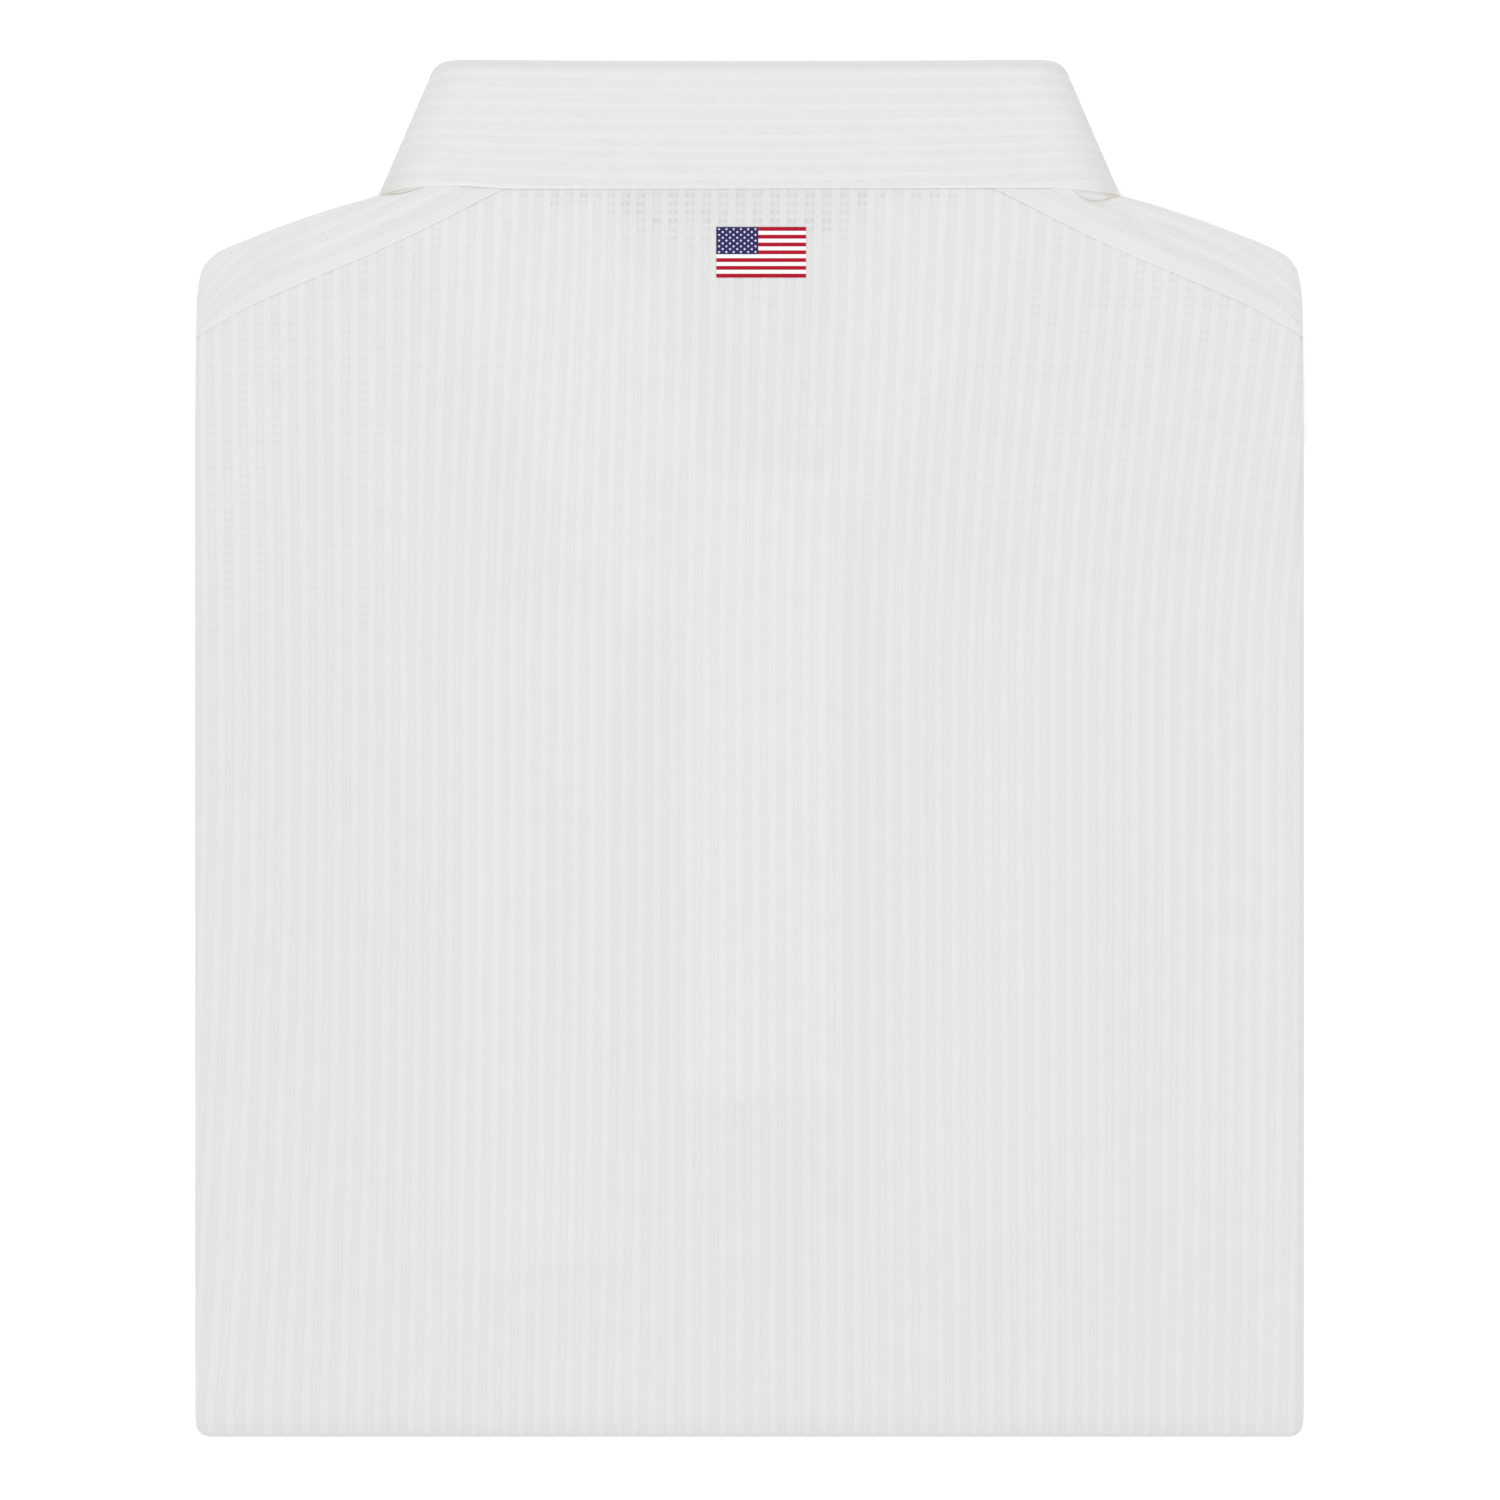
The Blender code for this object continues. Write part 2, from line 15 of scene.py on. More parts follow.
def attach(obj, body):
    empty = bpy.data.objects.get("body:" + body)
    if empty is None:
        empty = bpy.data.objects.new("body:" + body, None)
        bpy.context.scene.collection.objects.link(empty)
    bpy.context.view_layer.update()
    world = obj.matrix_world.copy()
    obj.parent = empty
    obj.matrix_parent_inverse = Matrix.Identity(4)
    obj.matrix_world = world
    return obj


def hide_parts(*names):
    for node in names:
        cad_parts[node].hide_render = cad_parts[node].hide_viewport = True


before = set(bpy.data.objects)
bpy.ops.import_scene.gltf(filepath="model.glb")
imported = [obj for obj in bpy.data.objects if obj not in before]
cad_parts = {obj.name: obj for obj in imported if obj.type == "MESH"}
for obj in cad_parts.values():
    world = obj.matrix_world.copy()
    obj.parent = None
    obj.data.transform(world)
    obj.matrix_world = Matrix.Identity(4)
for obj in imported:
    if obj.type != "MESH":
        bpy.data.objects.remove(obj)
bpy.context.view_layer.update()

MM = 0.001
JOIN_DISTANCE = 0.002
SHARP_ANGLE = math.radians(55)

# Whole folded shirt
BODY_HALF = 175.0
BOTTOM_Y = -217.5
FOLD_HEIGHT = 18.0
LAYER_GAP = 0.5
CLOTH = 1.2
SEAM_SHIFT = 0.4
MID_Z = FOLD_HEIGHT / 2
PARTING = 0.2
UPPER_LEG_Z = MID_Z + PARTING
FOLD_AXIS_Y = BOTTOM_Y + MID_Z
NECK_TOP_Z = 12.9
NECK_UNDER_Z = 1.9
TOP_DROOP = (85, 155)
UNDER_DROOP = (97, 162)

# Turned-in sides, and the bottom fold with painted shade on its rim between two sines of the angle round it
FOLD_STEPS = 14
SPARE_WIDTH = 8.0
LEG_HIDDEN_X = 164.6
LEG_SHOWN_X = 122.0
LEG_CHANGE = (0.45, 0.7)
STRAIGHT_Y = 60.0
STRAIGHT_STEPS = 30
UPPER_STEPS = 15
BEND_STEPS = 14
RIM_SHADE = -1.0
RIM_REACH = (0.8, 0.97)

# Tail, folded up behind as far as its hem
HEM_Y = 95.0
HEM_STITCH_Y = 75.0
HEM_GROOVE = 0.32
HEM_GROOVE_HALF = 0.9
TAIL_CELL = 18.9
TAIL_STEPS = 14
HEM_ROWS_Y = (67, 72, HEM_STITCH_Y - 0.8, HEM_STITCH_Y, HEM_STITCH_Y + 0.8, 78, 85, 92, 94.4, HEM_Y)

# Neck seam
NECK_HALF = 98.0
NECK_BACK_Y = 184.0
NECK_SIDE_Y = 181.5
NECK_FRONT_Y = 130.0

# Seam between back and yoke: x, y
YOKE_SEAM = (
    (65.5, 182.9),
    (77.3, 176.9),
    (101, 164.9),
    (120, 156),
    (142, 146.7),
    (160, 138.5),
    (175.3, 129.6),
)
UNDER_SEAM_SLOPE = 0.47

# Each section of a yoke: where it starts on the seam, and the shoulder's outline there
YOKE_SECTIONS = (
    # seam_x, outline_x, outline_y
    (65.5, 98, 181.5),
    (73, 107, 178.5),
    (82, 116, 175.5),
    (96, 129, 171.9),
    (110, 143, 167.3),
    (123, 156, 162.4),
    (134, 165, 158.7),
    (142, 169.8, 156.1),
    (149, 172.7, 152.7),
    (156, 174.1, 148.3),
    (162.5, 174.8, 142),
    (None, BODY_HALF, YOKE_SEAM[-1][1]),
)
YOKE_CELL = (1.0, 1.2)
YOKE_TILT = math.radians(25)
YOKE_CORNER_X = 148.0
YOKE_CORNER_RISE = 12.0
YOKE_SHARES = (0.2, 0.4, 0.6, 0.8, 1.0)
YOKE_SIDES = (
    # name, node, side, width of the smooth band along the seam, bend of the stripes at the corner
    ("right_yoke", "yoke_right", 1, 5.4, 0.006),
    ("left_yoke", "yoke_left", -1, 4.2, 0.0136),
)
LIP_STEPS = 3
LIP_START = (79.0, 166.0)
LIP_END_X = 160.0
SHOULDER_LINE = (
    # outline of the shoulder, run on under the collar: x, y
    (60, 193.7),
    (80, 187.1),
    *[section[1:] for section in YOKE_SECTIONS[:7]],
)
SHOULDER_SLANT = math.cos(math.radians(18.5))

# The yoke's edge is turned in and sewn over the back's, which runs on beneath it
SEAM_DIP = 0.1
SEAM_DIP_REACH = 1.3
# Painted shade in the groove along the seam, turning khaki where it runs below -1
GROOVE_SHADE = -1.45
GROOVE_SHADE_REACH = 0.35
LAP_FALL = 0.25
LAP_ROWS = (1.6, 0.6)
SEAM_SHARES = (0, 0.004, 0.012, 0.024, 0.04, 0.07)
SEAM_FADE = (150, 169)
SEAM_SCALE = 0.12
SEAM_PROFILE = (
    # distance from the seam, height of the yoke's face over the plain cloth
    (0, 0.05),
    (0.25, 0.09),
    (0.6, 0.12),
    (1.1, 0.11),
    (1.8, 0.07),
    (3, 0.02),
    (5, 0),
)
YOKE_EDGE_SHADES = (
    # distance from the seam, shade: painted shade at the seam line, painted light on the raised turned edge,
    # where the doubled cloth is also lighter, and a faint dark line where the allowance ends
    (0, -0.3),
    (0.25, 0.6),
    (0.6, 0.6),
    (1.1, -0.35),
    (1.8, 0),
    (3, 0),
    (9, 0),
)

# Collar leaf
LEAF_HEIGHT = 14.8
LEAF_EDGE_HALF = 117.4
LEAF_ROLL_HALF = 101.3
LEAF_TOP_Y = 217.7
LEAF_TOP_DIP = 0.5
LEAF_CORNER_DROP = 3.8
LEAF_CORNER_POWER = 40
LEAF_EDGE_Y = 176.8
LEAF_SIDE_Y = 176.5
LEAF_EDGE_LINE = (
    # x, y of the lower edge, which arches up near the left end
    (-117.4, 175.1),
    (-112, 176.6),
    (-104, 177.5),
    (-95, 177.8),
    (-87, 177.5),
    (-78, 176.9),
    (-60, 176.8),
    (0, 176.8),
    (60, 177),
    (95, 177),
    (104, 176.7),
    (112, 175.9),
    (117.4, 175.1),
)
LEAF_FRONT_Y = 159.0
LEAF_POINT = (46.0, 103.0)
LEAF_OPENING = 4.0
LEAF_ROWS = 50
LEAF_THICK = 1.5
LEAF_LIFT = 0.62
LEAF_LOWERED_TO = 0.45
LEAF_LOWERED_Z = (8.0, 10.0)
LEAF_EDGE_ROUND = (
    # distance above the lower edge, how much lower the face is there, painted light against the shadow under
    # the edge
    (0, 0.32, 1),
    (0.3, 0.13, 0.9),
    (0.7, 0.04, 0.3),
    (1.4, 0, 0),
)
# Painted shade at the collar's rounded ends and along the top of its roll
LEAF_END_SHADES = {-1: -0.85, 1: -1.0}
LEAF_END_REACH = 15.0
ROLL_RADIUS = 1.7
ROLL_STEPS = 8
ROLL_END = 1.0
ROLL_TOP_SHADE = 1.0
ROLL_TOP_FROM = 0.96

# Corners of the leaf, where its under layer rolls out below its lower edge
LEFT_ROLL = (
    # distance out from the middle, how far it shows
    (0, 0),
    (101, 0),
    (106, 0.9),
    (111, 1.3),
    (115, 0.6),
    (117.4, 0),
)
RIGHT_ROLL = (
    (0, 0),
    (101.5, 0),
    (104.4, 2.2),
    (107.3, 3.5),
    (110, 3.2),
    (112.6, 2.4),
    (115.5, 1),
    (117.4, 0),
)
CORNER_ROLLS = {
    # side: how far it shows, middle and half width of the painted shadow in its hollow
    -1: (LEFT_ROLL, 114, 1.8),
    1: (RIGHT_ROLL, 114.3, 2.2),
}
ROLL_OUT_ROWS = 9
ROLL_LEAST = 0.05
ROLL_LIFT = 0.26
ROLL_BULGE = 0.35
# Painted shade on the rolled-out corners, darker lines at their edges and a painted shadow in the hollow
ROLL_SHADE = -1.15
ROLL_LINE_SHADE = -0.25
ROLL_LINES = ((1.0, 0.12), (0.0, 0.2))
HOLLOW_SHADE = -2.0

# Collar stand, and the steps round both rings of the collar
STAND_TOP_HALF = LEAF_ROLL_HALF - LEAF_THICK - SEAM_SHIFT
STAND_OPENING = 0.3
STAND_LAP = 0.6
STAND_ROWS = 6
RING_BACK_STEPS = 40
RING_FRONT_STEPS = 26
RING_CROWDING = 1.6

# Underside pieces
NECK_LAP = 2.5
FRONT_TUCK_Y = 83.0
FRONT_TUCK_X = 134.0
FRONT_TOP_X = 165.0
FRONT_OVERLAP = 7.0
PLACKET_HALF = 15.0
PLACKET_RISE = 0.1
PLACKET_TOP_Y = 129.6
PLACKET_CELL = 0.9
SLEEVE_OUTER_X = 121.6
SLEEVE_INNER_X = 60.0
SLEEVE_TOP_Y = 107.0
SLEEVE_TOP_FALL = 7.0
SLEEVE_TURN = 1.25
SLEEVE_CELL = 1.2
FLAT_CELL = 2.5

# Hidden folded layers between top and underside: each wraps round the bottom fold
INNER_FOLDS = (
    # name, share of height at its inside and outside, y of its upper end, y of its lower end
    ("inner_fold_near", 0.20, 0.385, 77, 86),
    ("inner_fold_middle", 0.41, 0.60, 152, 89),
    ("inner_fold_far", 0.625, 0.81, 139, 92),
)
INNER_HALF = (
    # y, half width
    (FOLD_AXIS_Y, 172.4),
    (106, 172.4),
    (124, 170),
    (133, 166),
    (141, 159),
    (147, 149),
    (153, 138),
)
INNER_ROUND_STEPS = 6
INNER_STEPS = 24
INNER_BEND_STEPS = 12
INNER_TAIL_STEPS = 20
# Painted shade on the folded layers inside the stack
INNER_SHADE = -0.2
INNER_ROW = 10.0

# Walls of the visual cloth
BODY_WALL = 0.3
YOKE_WALL = 0.15
LEAF_WALL = 0.16
DOUBLE_WALL = 0.5

# Stripes of the cloth: a smooth puffed band, then a flatter one of open thread lines
STRIPE = 5.14
SMOOTH_SHARE = 0.48
OPEN_MIDDLE = SMOOTH_SHARE + (1 - SMOOTH_SHARE) / 2
STRIPE_PHASES = (0.0, 0.07, 0.24, 0.41, 0.48, 0.74)
PUFF = 0.12
OPEN_PUFF = 0.55
BACK_OPEN_X = 0.6
COLLAR_STRIPE = 4.9
COLLAR_OPEN_Y = 2.5
COLLAR_SKIP = (22, 34)

# How far the back's stripes lie to the right of straight, at the neck seam and at the bottom fold
LEAN_ABOVE = (
    # x, lean
    (-175, -2),
    (-143, -1.9),
    (-118, 0.2),
    (-98, 3.7),
    (-80, 6),
    (-60, 5.5),
    (-38, 2.8),
    (-15, 2.9),
    (20, 4.4),
    (45, 6.3),
    (75, 9.6),
    (110, 11.2),
    (150, 14.5),
    (175, 15.5),
)
LEAN_BELOW = (
    # x, lean
    (-175, -11),
    (-160, -8.5),
    (-143, -6),
    (-120, -3.6),
    (-95, -2.2),
    (-40, -2.4),
    (-15, -0.3),
    (20, 0.5),
    (70, 1),
    (95, 0.6),
    (125, -1.2),
    (175, -2),
)
LEAN_ABOVE_Y = (20.0, 200.0)
LEAN_BELOW_POWER = 1.7
LEAN_BUMPS = (
    # height, x, half width of what is added from end to end
    (1.2, -120, 28),
    (-1.5, -25, 60),
)

# Creases, listed one by one: negative depths are troughs with painted shade, raised ones get painted light
CREASE_SHADE = 1.6
CREASES = (
    # face, x, y, angle in degrees, half length, half width, depth
    ("top", 108, 174.6, -6, 4.6, 1.3, 0.4),
    ("top", 109.5, 172.3, -14, 6, 0.9, -0.5),
    ("top", 103, 169, -38, 5, 1.2, 0.4),
    ("top", 104.5, 167.2, -40, 5, 1, -0.4),
    ("top", 121, 165.8, -32, 8, 1.4, -0.5),
    ("top", 122.5, 168.6, -28, 9, 1.6, 0.4),
    ("top", 138, 162, -24, 14, 1.7, -0.5),
    ("top", 139, 165.2, -23, 14, 1.8, 0.35),
    ("top", 147, 152.4, -27, 26, 2, -0.4),
    ("top", 146, 156.6, -26, 22, 2.2, 0.35),
    ("top", 120, 158.8, -25, 22, 4, 0.35),
    ("top", -104, 172, 24, 12, 1.8, 0.35),
    ("top", -109, 167, 25, 20, 2.2, -0.3),
    ("top", -128, 162.4, 23, 22, 2.6, 0.35),
    ("top", -150, 151, 28, 16, 2.4, -0.3),
    ("top", -126, 156, 25, 30, 3.4, 0.3),
    ("top", 60, 20, 82, 70, 7, -0.12),
    ("top", -60, -60, 95, 80, 9, -0.12),
    ("top", -110, 60, 86, 60, 8, 0.12),
    ("top", 120, -90, 92, 70, 8, -0.12),
    ("top", 10, -130, 88, 40, 10, -0.15),
    ("under", 80, 140, 60, 18, 4, -0.4),
    ("under", -70, 138, -50, 20, 4, -0.4),
    ("under", 30, 118, 80, 16, 5, -0.3),
)

# Stitches and buttons
STITCH_LENGTH = 2.3
STITCH_PITCH = 3.0
STITCH_START = 0.35
STITCH_RADIUS = 0.13
STITCH_ARCH = (
    # share of its length, how far it stands out
    (0, -0.2),
    (0.25, 0.12),
    (0.5, 0.16),
    (0.75, 0.12),
    (1, -0.2),
)
STITCH_FROM_TUCK = 1.0
STITCH_FROM_TOP = 1.5
TAIL_STITCH_X = 165.0
PLACKET_STITCH_X = 1.8
SLEEVE_HEM = 20.0
BUTTONS = (
    # name, y
    ("button_stand", 144),
    ("button_placket", 112),
)
BUTTON_RADIUS = 5.5
BUTTON_THICK = 1.8
BUTTON_RIM = 0.5
BUTTON_SHOULDER = 0.15
BUTTON_GAP = 0.35
DISH_RADIUS = 3.2
DISH_DEPTH = 0.45
DISH_Z = DISH_DEPTH - BUTTON_THICK
BUTTON_STEPS = 48
HOLE_RADIUS = 0.7
HOLE_REACH = 1.3
HOLE_STEPS = 16
BUTTON_THREAD_RADIUS = 0.16
BUTTON_THREADS = (-0.25, 0.0, 0.25)
THREAD_END_Z = -0.3
THREAD_LIFT = 0.05
THREAD_ARCH = 0.2
THREAD_CROSSING = 0.1

# Printed flag: its lower left corner on the back, its size, and its canton
FLAG_X = -10.48
FLAG_Y = 148.8
FLAG_WIDTH = 28.3
FLAG_HEIGHT = 15.98
FLAG_STRIPES = 13
CANTON_STRIPES = 7
CANTON_WIDTH = 13.26
FLAG_LIFT = 0.14
FLAG_LAYER = 0.03
FLAG_CELLS = 30
STAR_RADIUS = 0.45
STAR_INSIDE = 0.42
STAR_ROWS = 9
STAR_COLUMNS = 11
STAR_MARGIN = 0.78

# Tone across one stripe: 0.5 is the cloth's mean
STRIPE_TONE = (
    # place across the stripe, tone
    (0, 0.42),
    (0.05, 0.60),
    (0.10, 0.63),
    (0.24, 0.57),
    (0.38, 0.63),
    (0.43, 0.60),
    (0.49, 0.40),
    (0.52, 0.36),
    (0.59, 0.47),
    (0.66, 0.50),
    (0.74, 0.41),
    (0.82, 0.50),
    (0.89, 0.47),
    (0.96, 0.36),
    (1, 0.42),
)
THREAD_COLUMNS = (
    # place across the stripe, how dark its ticks are
    (0, 0.3),
    (0.02, 0),
    (0.47, 0),
    (0.52, 1),
    (0.58, 0.6),
    (0.66, 0.35),
    (0.74, 0.35),
    (0.82, 0.35),
    (0.90, 0.6),
    (0.96, 1),
    (1, 0.3),
)
BAND_WEIGHT = 1.15
SHADE_WEIGHT = 0.25
TICK_PITCH = 2.7
TICK_POWER = 1.1
TICK_WEIGHT = 0.54
TICKED_BANDS = 0.5

# Unevenness of the cloth: scale across the stripes and along them, weight, detail
GRAIN = (9, 0.7, 0.26, 3)
THREADS = (11, 0.03, 0.2, 2)
STREAKS = (1.1, 0.008, 0.13, 2)
PATCHES = (0.55, 0.10, 0.22, 2)
STRIPE_SWAY = (0.7, 0.05, 0.16, 2)
TICK_SWAY = (0.5, 0.12, 0.9, 2)
LAYER_SWAY_X = (0.10, 0.07, 4, 2)
LAYER_SWAY_Y = (0.07, 0.05, 5, 2)

# Fine relief: what bands and ticks add to it, then the strength and distance of each bump
BAND_RELIEF = 0.4
TICK_RELIEF = -0.3
CLOTH_BUMP = (0.5, 0.15)
PLAIN_BUMP = (0.3, 0.05)

# Roughness: its rate and start over the cloth's grain, and its range in a plain material
CLOTH_ROUGHNESS = (0.3, 0.9)
PLAIN_ROUGHNESS = 0.2

# Scales alone, with the range or the rate and start of what is made of them
FINE_DASHES = (2.4, 1.1)
DASH_RANGE = (0.42, 0.66)
TICK_WANDER = (1.1, 0.16)
TICK_RANGE = (0.38, 0.68)
TICK_STRENGTH = (1.0, 0.6)
WARM_WANDER = (0.9, 0.03)
WARM_STRENGTH = (1.8, 0.1)

# Colours, the cloth's as its darkest and its lightest
TICK_COLOUR = (0.50, 0.505, 0.49, 1)
# khaki-brown of painted shadow in grooves and hollows
PAINTED_SHADOW_COLOUR = (0.60, 0.555, 0.44, 1)
CLOTH_SHADES = ((0.6555, 0.6530, 0.6550, 1), (0.7765, 0.7735, 0.7765, 1))
WARM_SHADES = ((0.6650, 0.6597, 0.6150, 1), (0.7750, 0.7727, 0.7900, 1))
YOKE_SHADES = ((0.6580, 0.6535, 0.6390, 1), (0.7850, 0.7815, 0.7745, 1))
COLLAR_SHADES = ((0.6755, 0.6715, 0.6620, 1), (0.8005, 0.7955, 0.7825, 1))
THREAD_COLOUR = (0.78, 0.78, 0.76, 1)
PEARL_COLOUR = (0.80, 0.79, 0.75, 1)
FLAG_PAINTS = (
    # name, colour, depth of its grain
    ("flag_red", (0.43, 0.008, 0.026, 1), 0.05),
    ("flag_white", (0.90, 0.90, 0.90, 1), 0.02),
    ("flag_blue", (0.032, 0.028, 0.128, 1), 0.05),
)

# Layers that show through the back, and painted shade below the collar's lower edge and over the bottom fold,
# each between two slanted sides and two ends
LAYERS_AND_PAINTED_SHADE = (
    # left x at y = 100 and its lean, right x and its lean, low y, high y, soft edge, tone, warmth, ticks
    (-21.5, 0, 27, 0, -108.5, 86, 2.2, 0.42, 0.7, 0),
    (-73.5, -0.5, -15, -0.37, 86, 190, 8, 0.4, 0.5, 0),
    (-73.5, -0.5, -25, 0, 42, 86, 8, 0.4, 0.5, 0),
    (27.5, 0, 50, 0.67, 76, 190, 8, 0.32, 0.45, 0),
    (-15, -0.37, 27.5, 0, 84, 190, 5, 0.05, 0.1, 0.15),
    (-44, 0, 36, 0, 163, 190, 9, -0.42, -0.6, 0.9),
    # painted shadow just below the collar's lower edge
    (-72, 0, 66, 0, 172.5, 190, 1.5, -0.2, 0.1, 0.8),
    (-112, 0, -58, 0, 152, 195, 8, 0, 0.3, 0.2),
    (58, 0, 180, 0, 135, 195, 14, 0, 0.25, 0.1),
    (-220, 0, -112, 0, 26, 210, 26, 0.1, 0.45, 0.25),
    (-112, 0, -73.5, -0.5, 96, 210, 26, 0.1, 0.5, 0.25),
    (50, 0.67, 220, 0, 66, 210, 30, 0.2, 0.45, 0.2),
    (-44.5, 0, -40.5, 0, -145, 10, 1, -0.3, 0, 0),
    (28, 0, 36, 0, -112, 70, 2, -0.18, 0, 0),
    (36, 0, 170, 0, -150, 60, 12, 0.2, 0, 0),
    (22, 0, 52, 0, -150, -113, 7, -0.12, 0, 0.06),
    (-4.6, 0, -1.4, 0, -140, -111, 1, -0.5, 0, 0),
    (-92, 0, -40, 0, -160, 44, 6, 0.3, 0, 0),
    (-220, 0, -118, 0, -230, 50, 14, -0.12, 0, 0),
    (152, 0, 200, 0, -180, 50, 12, 0.1, 0.45, 0),
    (-200, 0, -166, 0, -190, 20, 6, -0.1, 0.2, 0),
    # painted shade over the bottom fold
    (-200, 0, 200, 0, -260, -200, 12, -0.05, 0.1, 0),
)
LEAN_FROM_Y = 100.0
SHOWN_ABOVE_Z = (9.5, 12)

# Stage
FLOOR_SIZE = 6.0
FLOOR_DROP = 0.0001
FLOOR_WHITE = (0.95, 0.95, 0.95, 1)
FLOOR_GLOW = 0.20
WORLD_STRENGTH = 0.89
SOFTBOX_SIZE = 2.4
SOFTBOX_POWER = 16.5
SOFTBOX_PLACE = (-0.25, 0.3, 2.35)
CAMERA_LENS = 190.0
SENSOR_WIDTH = 36.0
VIEW_WIDTH = 1500 * 0.31617
VIEW_MIDDLE = (0.16, -0.32)


def lerp(start, end, share):
    """Value that is this share of the way from start to end."""
    return start + (end - start) * share


def ease(value, start, end):
    """Smooth step from 0 at start to 1 at end."""
    share = min(max((value - start) / (end - start), 0.0), 1.0)
    return share * share * (3.0 - 2.0 * share)


def bell(value, middle, width):
    """Smooth bump of height 1 about the middle."""
    return math.exp(-(((value - middle) / width) ** 2))


def on_curve(t, width, start, start_slope, end, end_slope):
    """Value at t, from 0 to 1, of a smooth curve this wide with these ends and slopes."""
    near = (2 * t**3 - 3 * t**2 + 1) * start + (t**3 - 2 * t**2 + t) * width * start_slope
    return near + (3 * t**2 - 2 * t**3) * end + (t**3 - t**2) * width * end_slope


def curve_height(points, x):
    """Height at x of a smooth curve through points, each slope taken from its neighbours."""
    last = len(points) - 1
    index = max(i for i in range(last) if i == 0 or points[i][0] <= x)
    slopes = []
    for i in (index, index + 1):
        before, after = points[max(i - 1, 0)], points[min(i + 1, last)]
        slopes.append((after[1] - before[1]) / (after[0] - before[0]))
    (x0, y0), (x1, y1) = points[index], points[index + 1]
    return on_curve((x - x0) / (x1 - x0), x1 - x0, y0, slopes[0], y1, slopes[1])


def refined_line(points, steps):
    """Smooth curve through points, with as many cells between each two as steps says."""
    last = len(points) - 1
    spots = [0.0]
    for before, after in zip(points, points[1:]):
        spots.append(spots[-1] + max(math.dist(before[:3], after[:3]), 0.01))
    slopes = []
    for i in range(last + 1):
        a, b = max(i - 1, 0), min(i + 1, last)
        slopes.append([(q - p) / (spots[b] - spots[a]) for p, q in zip(points[a], points[b])])
    line = [points[0]]
    for i in range(last):
        width = spots[i + 1] - spots[i]
        ends = list(zip(points[i], slopes[i], points[i + 1], slopes[i + 1]))
        for step in range(1, steps[i] + 1):
            line.append(tuple(on_curve(step / steps[i], width, *end) for end in ends))
    return line


def refined_rows(rows, cell):
    """Rows of points cut finer along each row, so that no cell is longer than this."""
    steps = []
    for i in range(len(rows[0]) - 1):
        longest = max(math.dist(row[i][:3], row[i + 1][:3]) for row in rows)
        steps.append(max(1, math.ceil(longest / cell)))
    return [refined_line(row, steps) for row in rows]


def turned_rows(rows):
    """The same grid with its rows and columns swapped."""
    return [list(line) for line in zip(*rows)]


def refined(rows, across, along):
    """Grid cut finer both ways."""
    return turned_rows(refined_rows(turned_rows(refined_rows(rows, across)), along))


def mirrored(rows):
    """The same rows on the left, reversed so that the same face stays outward."""
    return [[(-point[0], *point[1:]) for point in row] for row in reversed(rows)]


def top_height(y):
    """Height of the back's outer face, which droops toward the neck."""
    return lerp(FOLD_HEIGHT, NECK_TOP_Z, ease(y, *TOP_DROOP))


def under_height(y):
    """Height of the upper fold's underside, which drops past the hem of the tail."""
    return lerp(UPPER_LEG_Z, NECK_UNDER_Z, ease(y, *UNDER_DROOP))


def side_half(y):
    """Half the height of the upper side fold, which is also how far it rounds in."""
    return (top_height(y) - under_height(y)) / 2


def upper_z(y, share):
    """Height of a point of the upper fold: share is 0 on its underside and 1 on its top."""
    return lerp(under_height(y), top_height(y), share)


def neck_y(x, under):
    """Neck seam: nearly straight across the back, a deep curve in front."""
    across = min(abs(x) / NECK_HALF, 1.0)
    if under:
        return NECK_SIDE_Y - (NECK_SIDE_Y - NECK_FRONT_Y) * math.cos(across * math.pi / 2)
    return lerp(NECK_BACK_Y, NECK_SIDE_Y, across**2)


def seam_y(x, under):
    """Seam between back and yoke, followed round the side fold to the underside."""
    x = abs(x)
    if under:
        return YOKE_SEAM[-1][1] - UNDER_SEAM_SLOPE * (BODY_HALF - x)
    return curve_height(YOKE_SEAM, x)


def back_edge_y(x, under):
    """Upper edge of the back panel: the neck seam, then the yoke seam."""
    if not under and abs(x) < YOKE_SEAM[0][0]:
        return neck_y(x, False)
    return seam_y(x, under)


SEAM_END_HALF = side_half(YOKE_SEAM[-1][1])
SEAM_RIM_X = BODY_HALF - SEAM_END_HALF
BACK_HALF_WIDTH = SEAM_RIM_X + math.pi * SEAM_END_HALF + SEAM_RIM_X - LEG_SHOWN_X


def stripe_lean(x, y):
    """How far a stripe of the back lies off its straight line, measured from where it crosses y = 0."""
    level = sum(height * bell(x, middle, half) for height, middle, half in LEAN_BUMPS)
    x = min(max(x, LEAN_ABOVE[0][0]), LEAN_ABOVE[-1][0])
    above = curve_height(LEAN_ABOVE, x) * ease(y, *LEAN_ABOVE_Y)
    below = curve_height(LEAN_BELOW, x) * max(y / FOLD_AXIS_Y, 0.0) ** LEAN_BELOW_POWER
    return level + above + below


def section_place(s, half, leg_end):
    """Point of the back's section at s along it from the middle: x and the angle that its face looks up."""
    side = -1 if s < 0 else 1
    s = abs(s)
    rim = BODY_HALF - half
    if s <= rim:
        return side * s, math.pi / 2
    turn = (s - rim) / half
    if turn <= math.pi:
        angle = math.pi / 2 - turn
        return side * (rim + half * math.cos(angle)), angle
    return side * max(rim - (s - rim - math.pi * half), leg_end), -math.pi / 2


def back_columns():
    """Places across the back, a few to each stripe, from the end of one turned-in leg to the other."""
    first = BACK_OPEN_X - OPEN_MIDDLE * STRIPE
    count = math.ceil((BACK_HALF_WIDTH + SPARE_WIDTH) / STRIPE)
    stripes = range(-count, count + 1)
    return [first + (stripe + phase) * STRIPE for stripe in stripes for phase in STRIPE_PHASES]


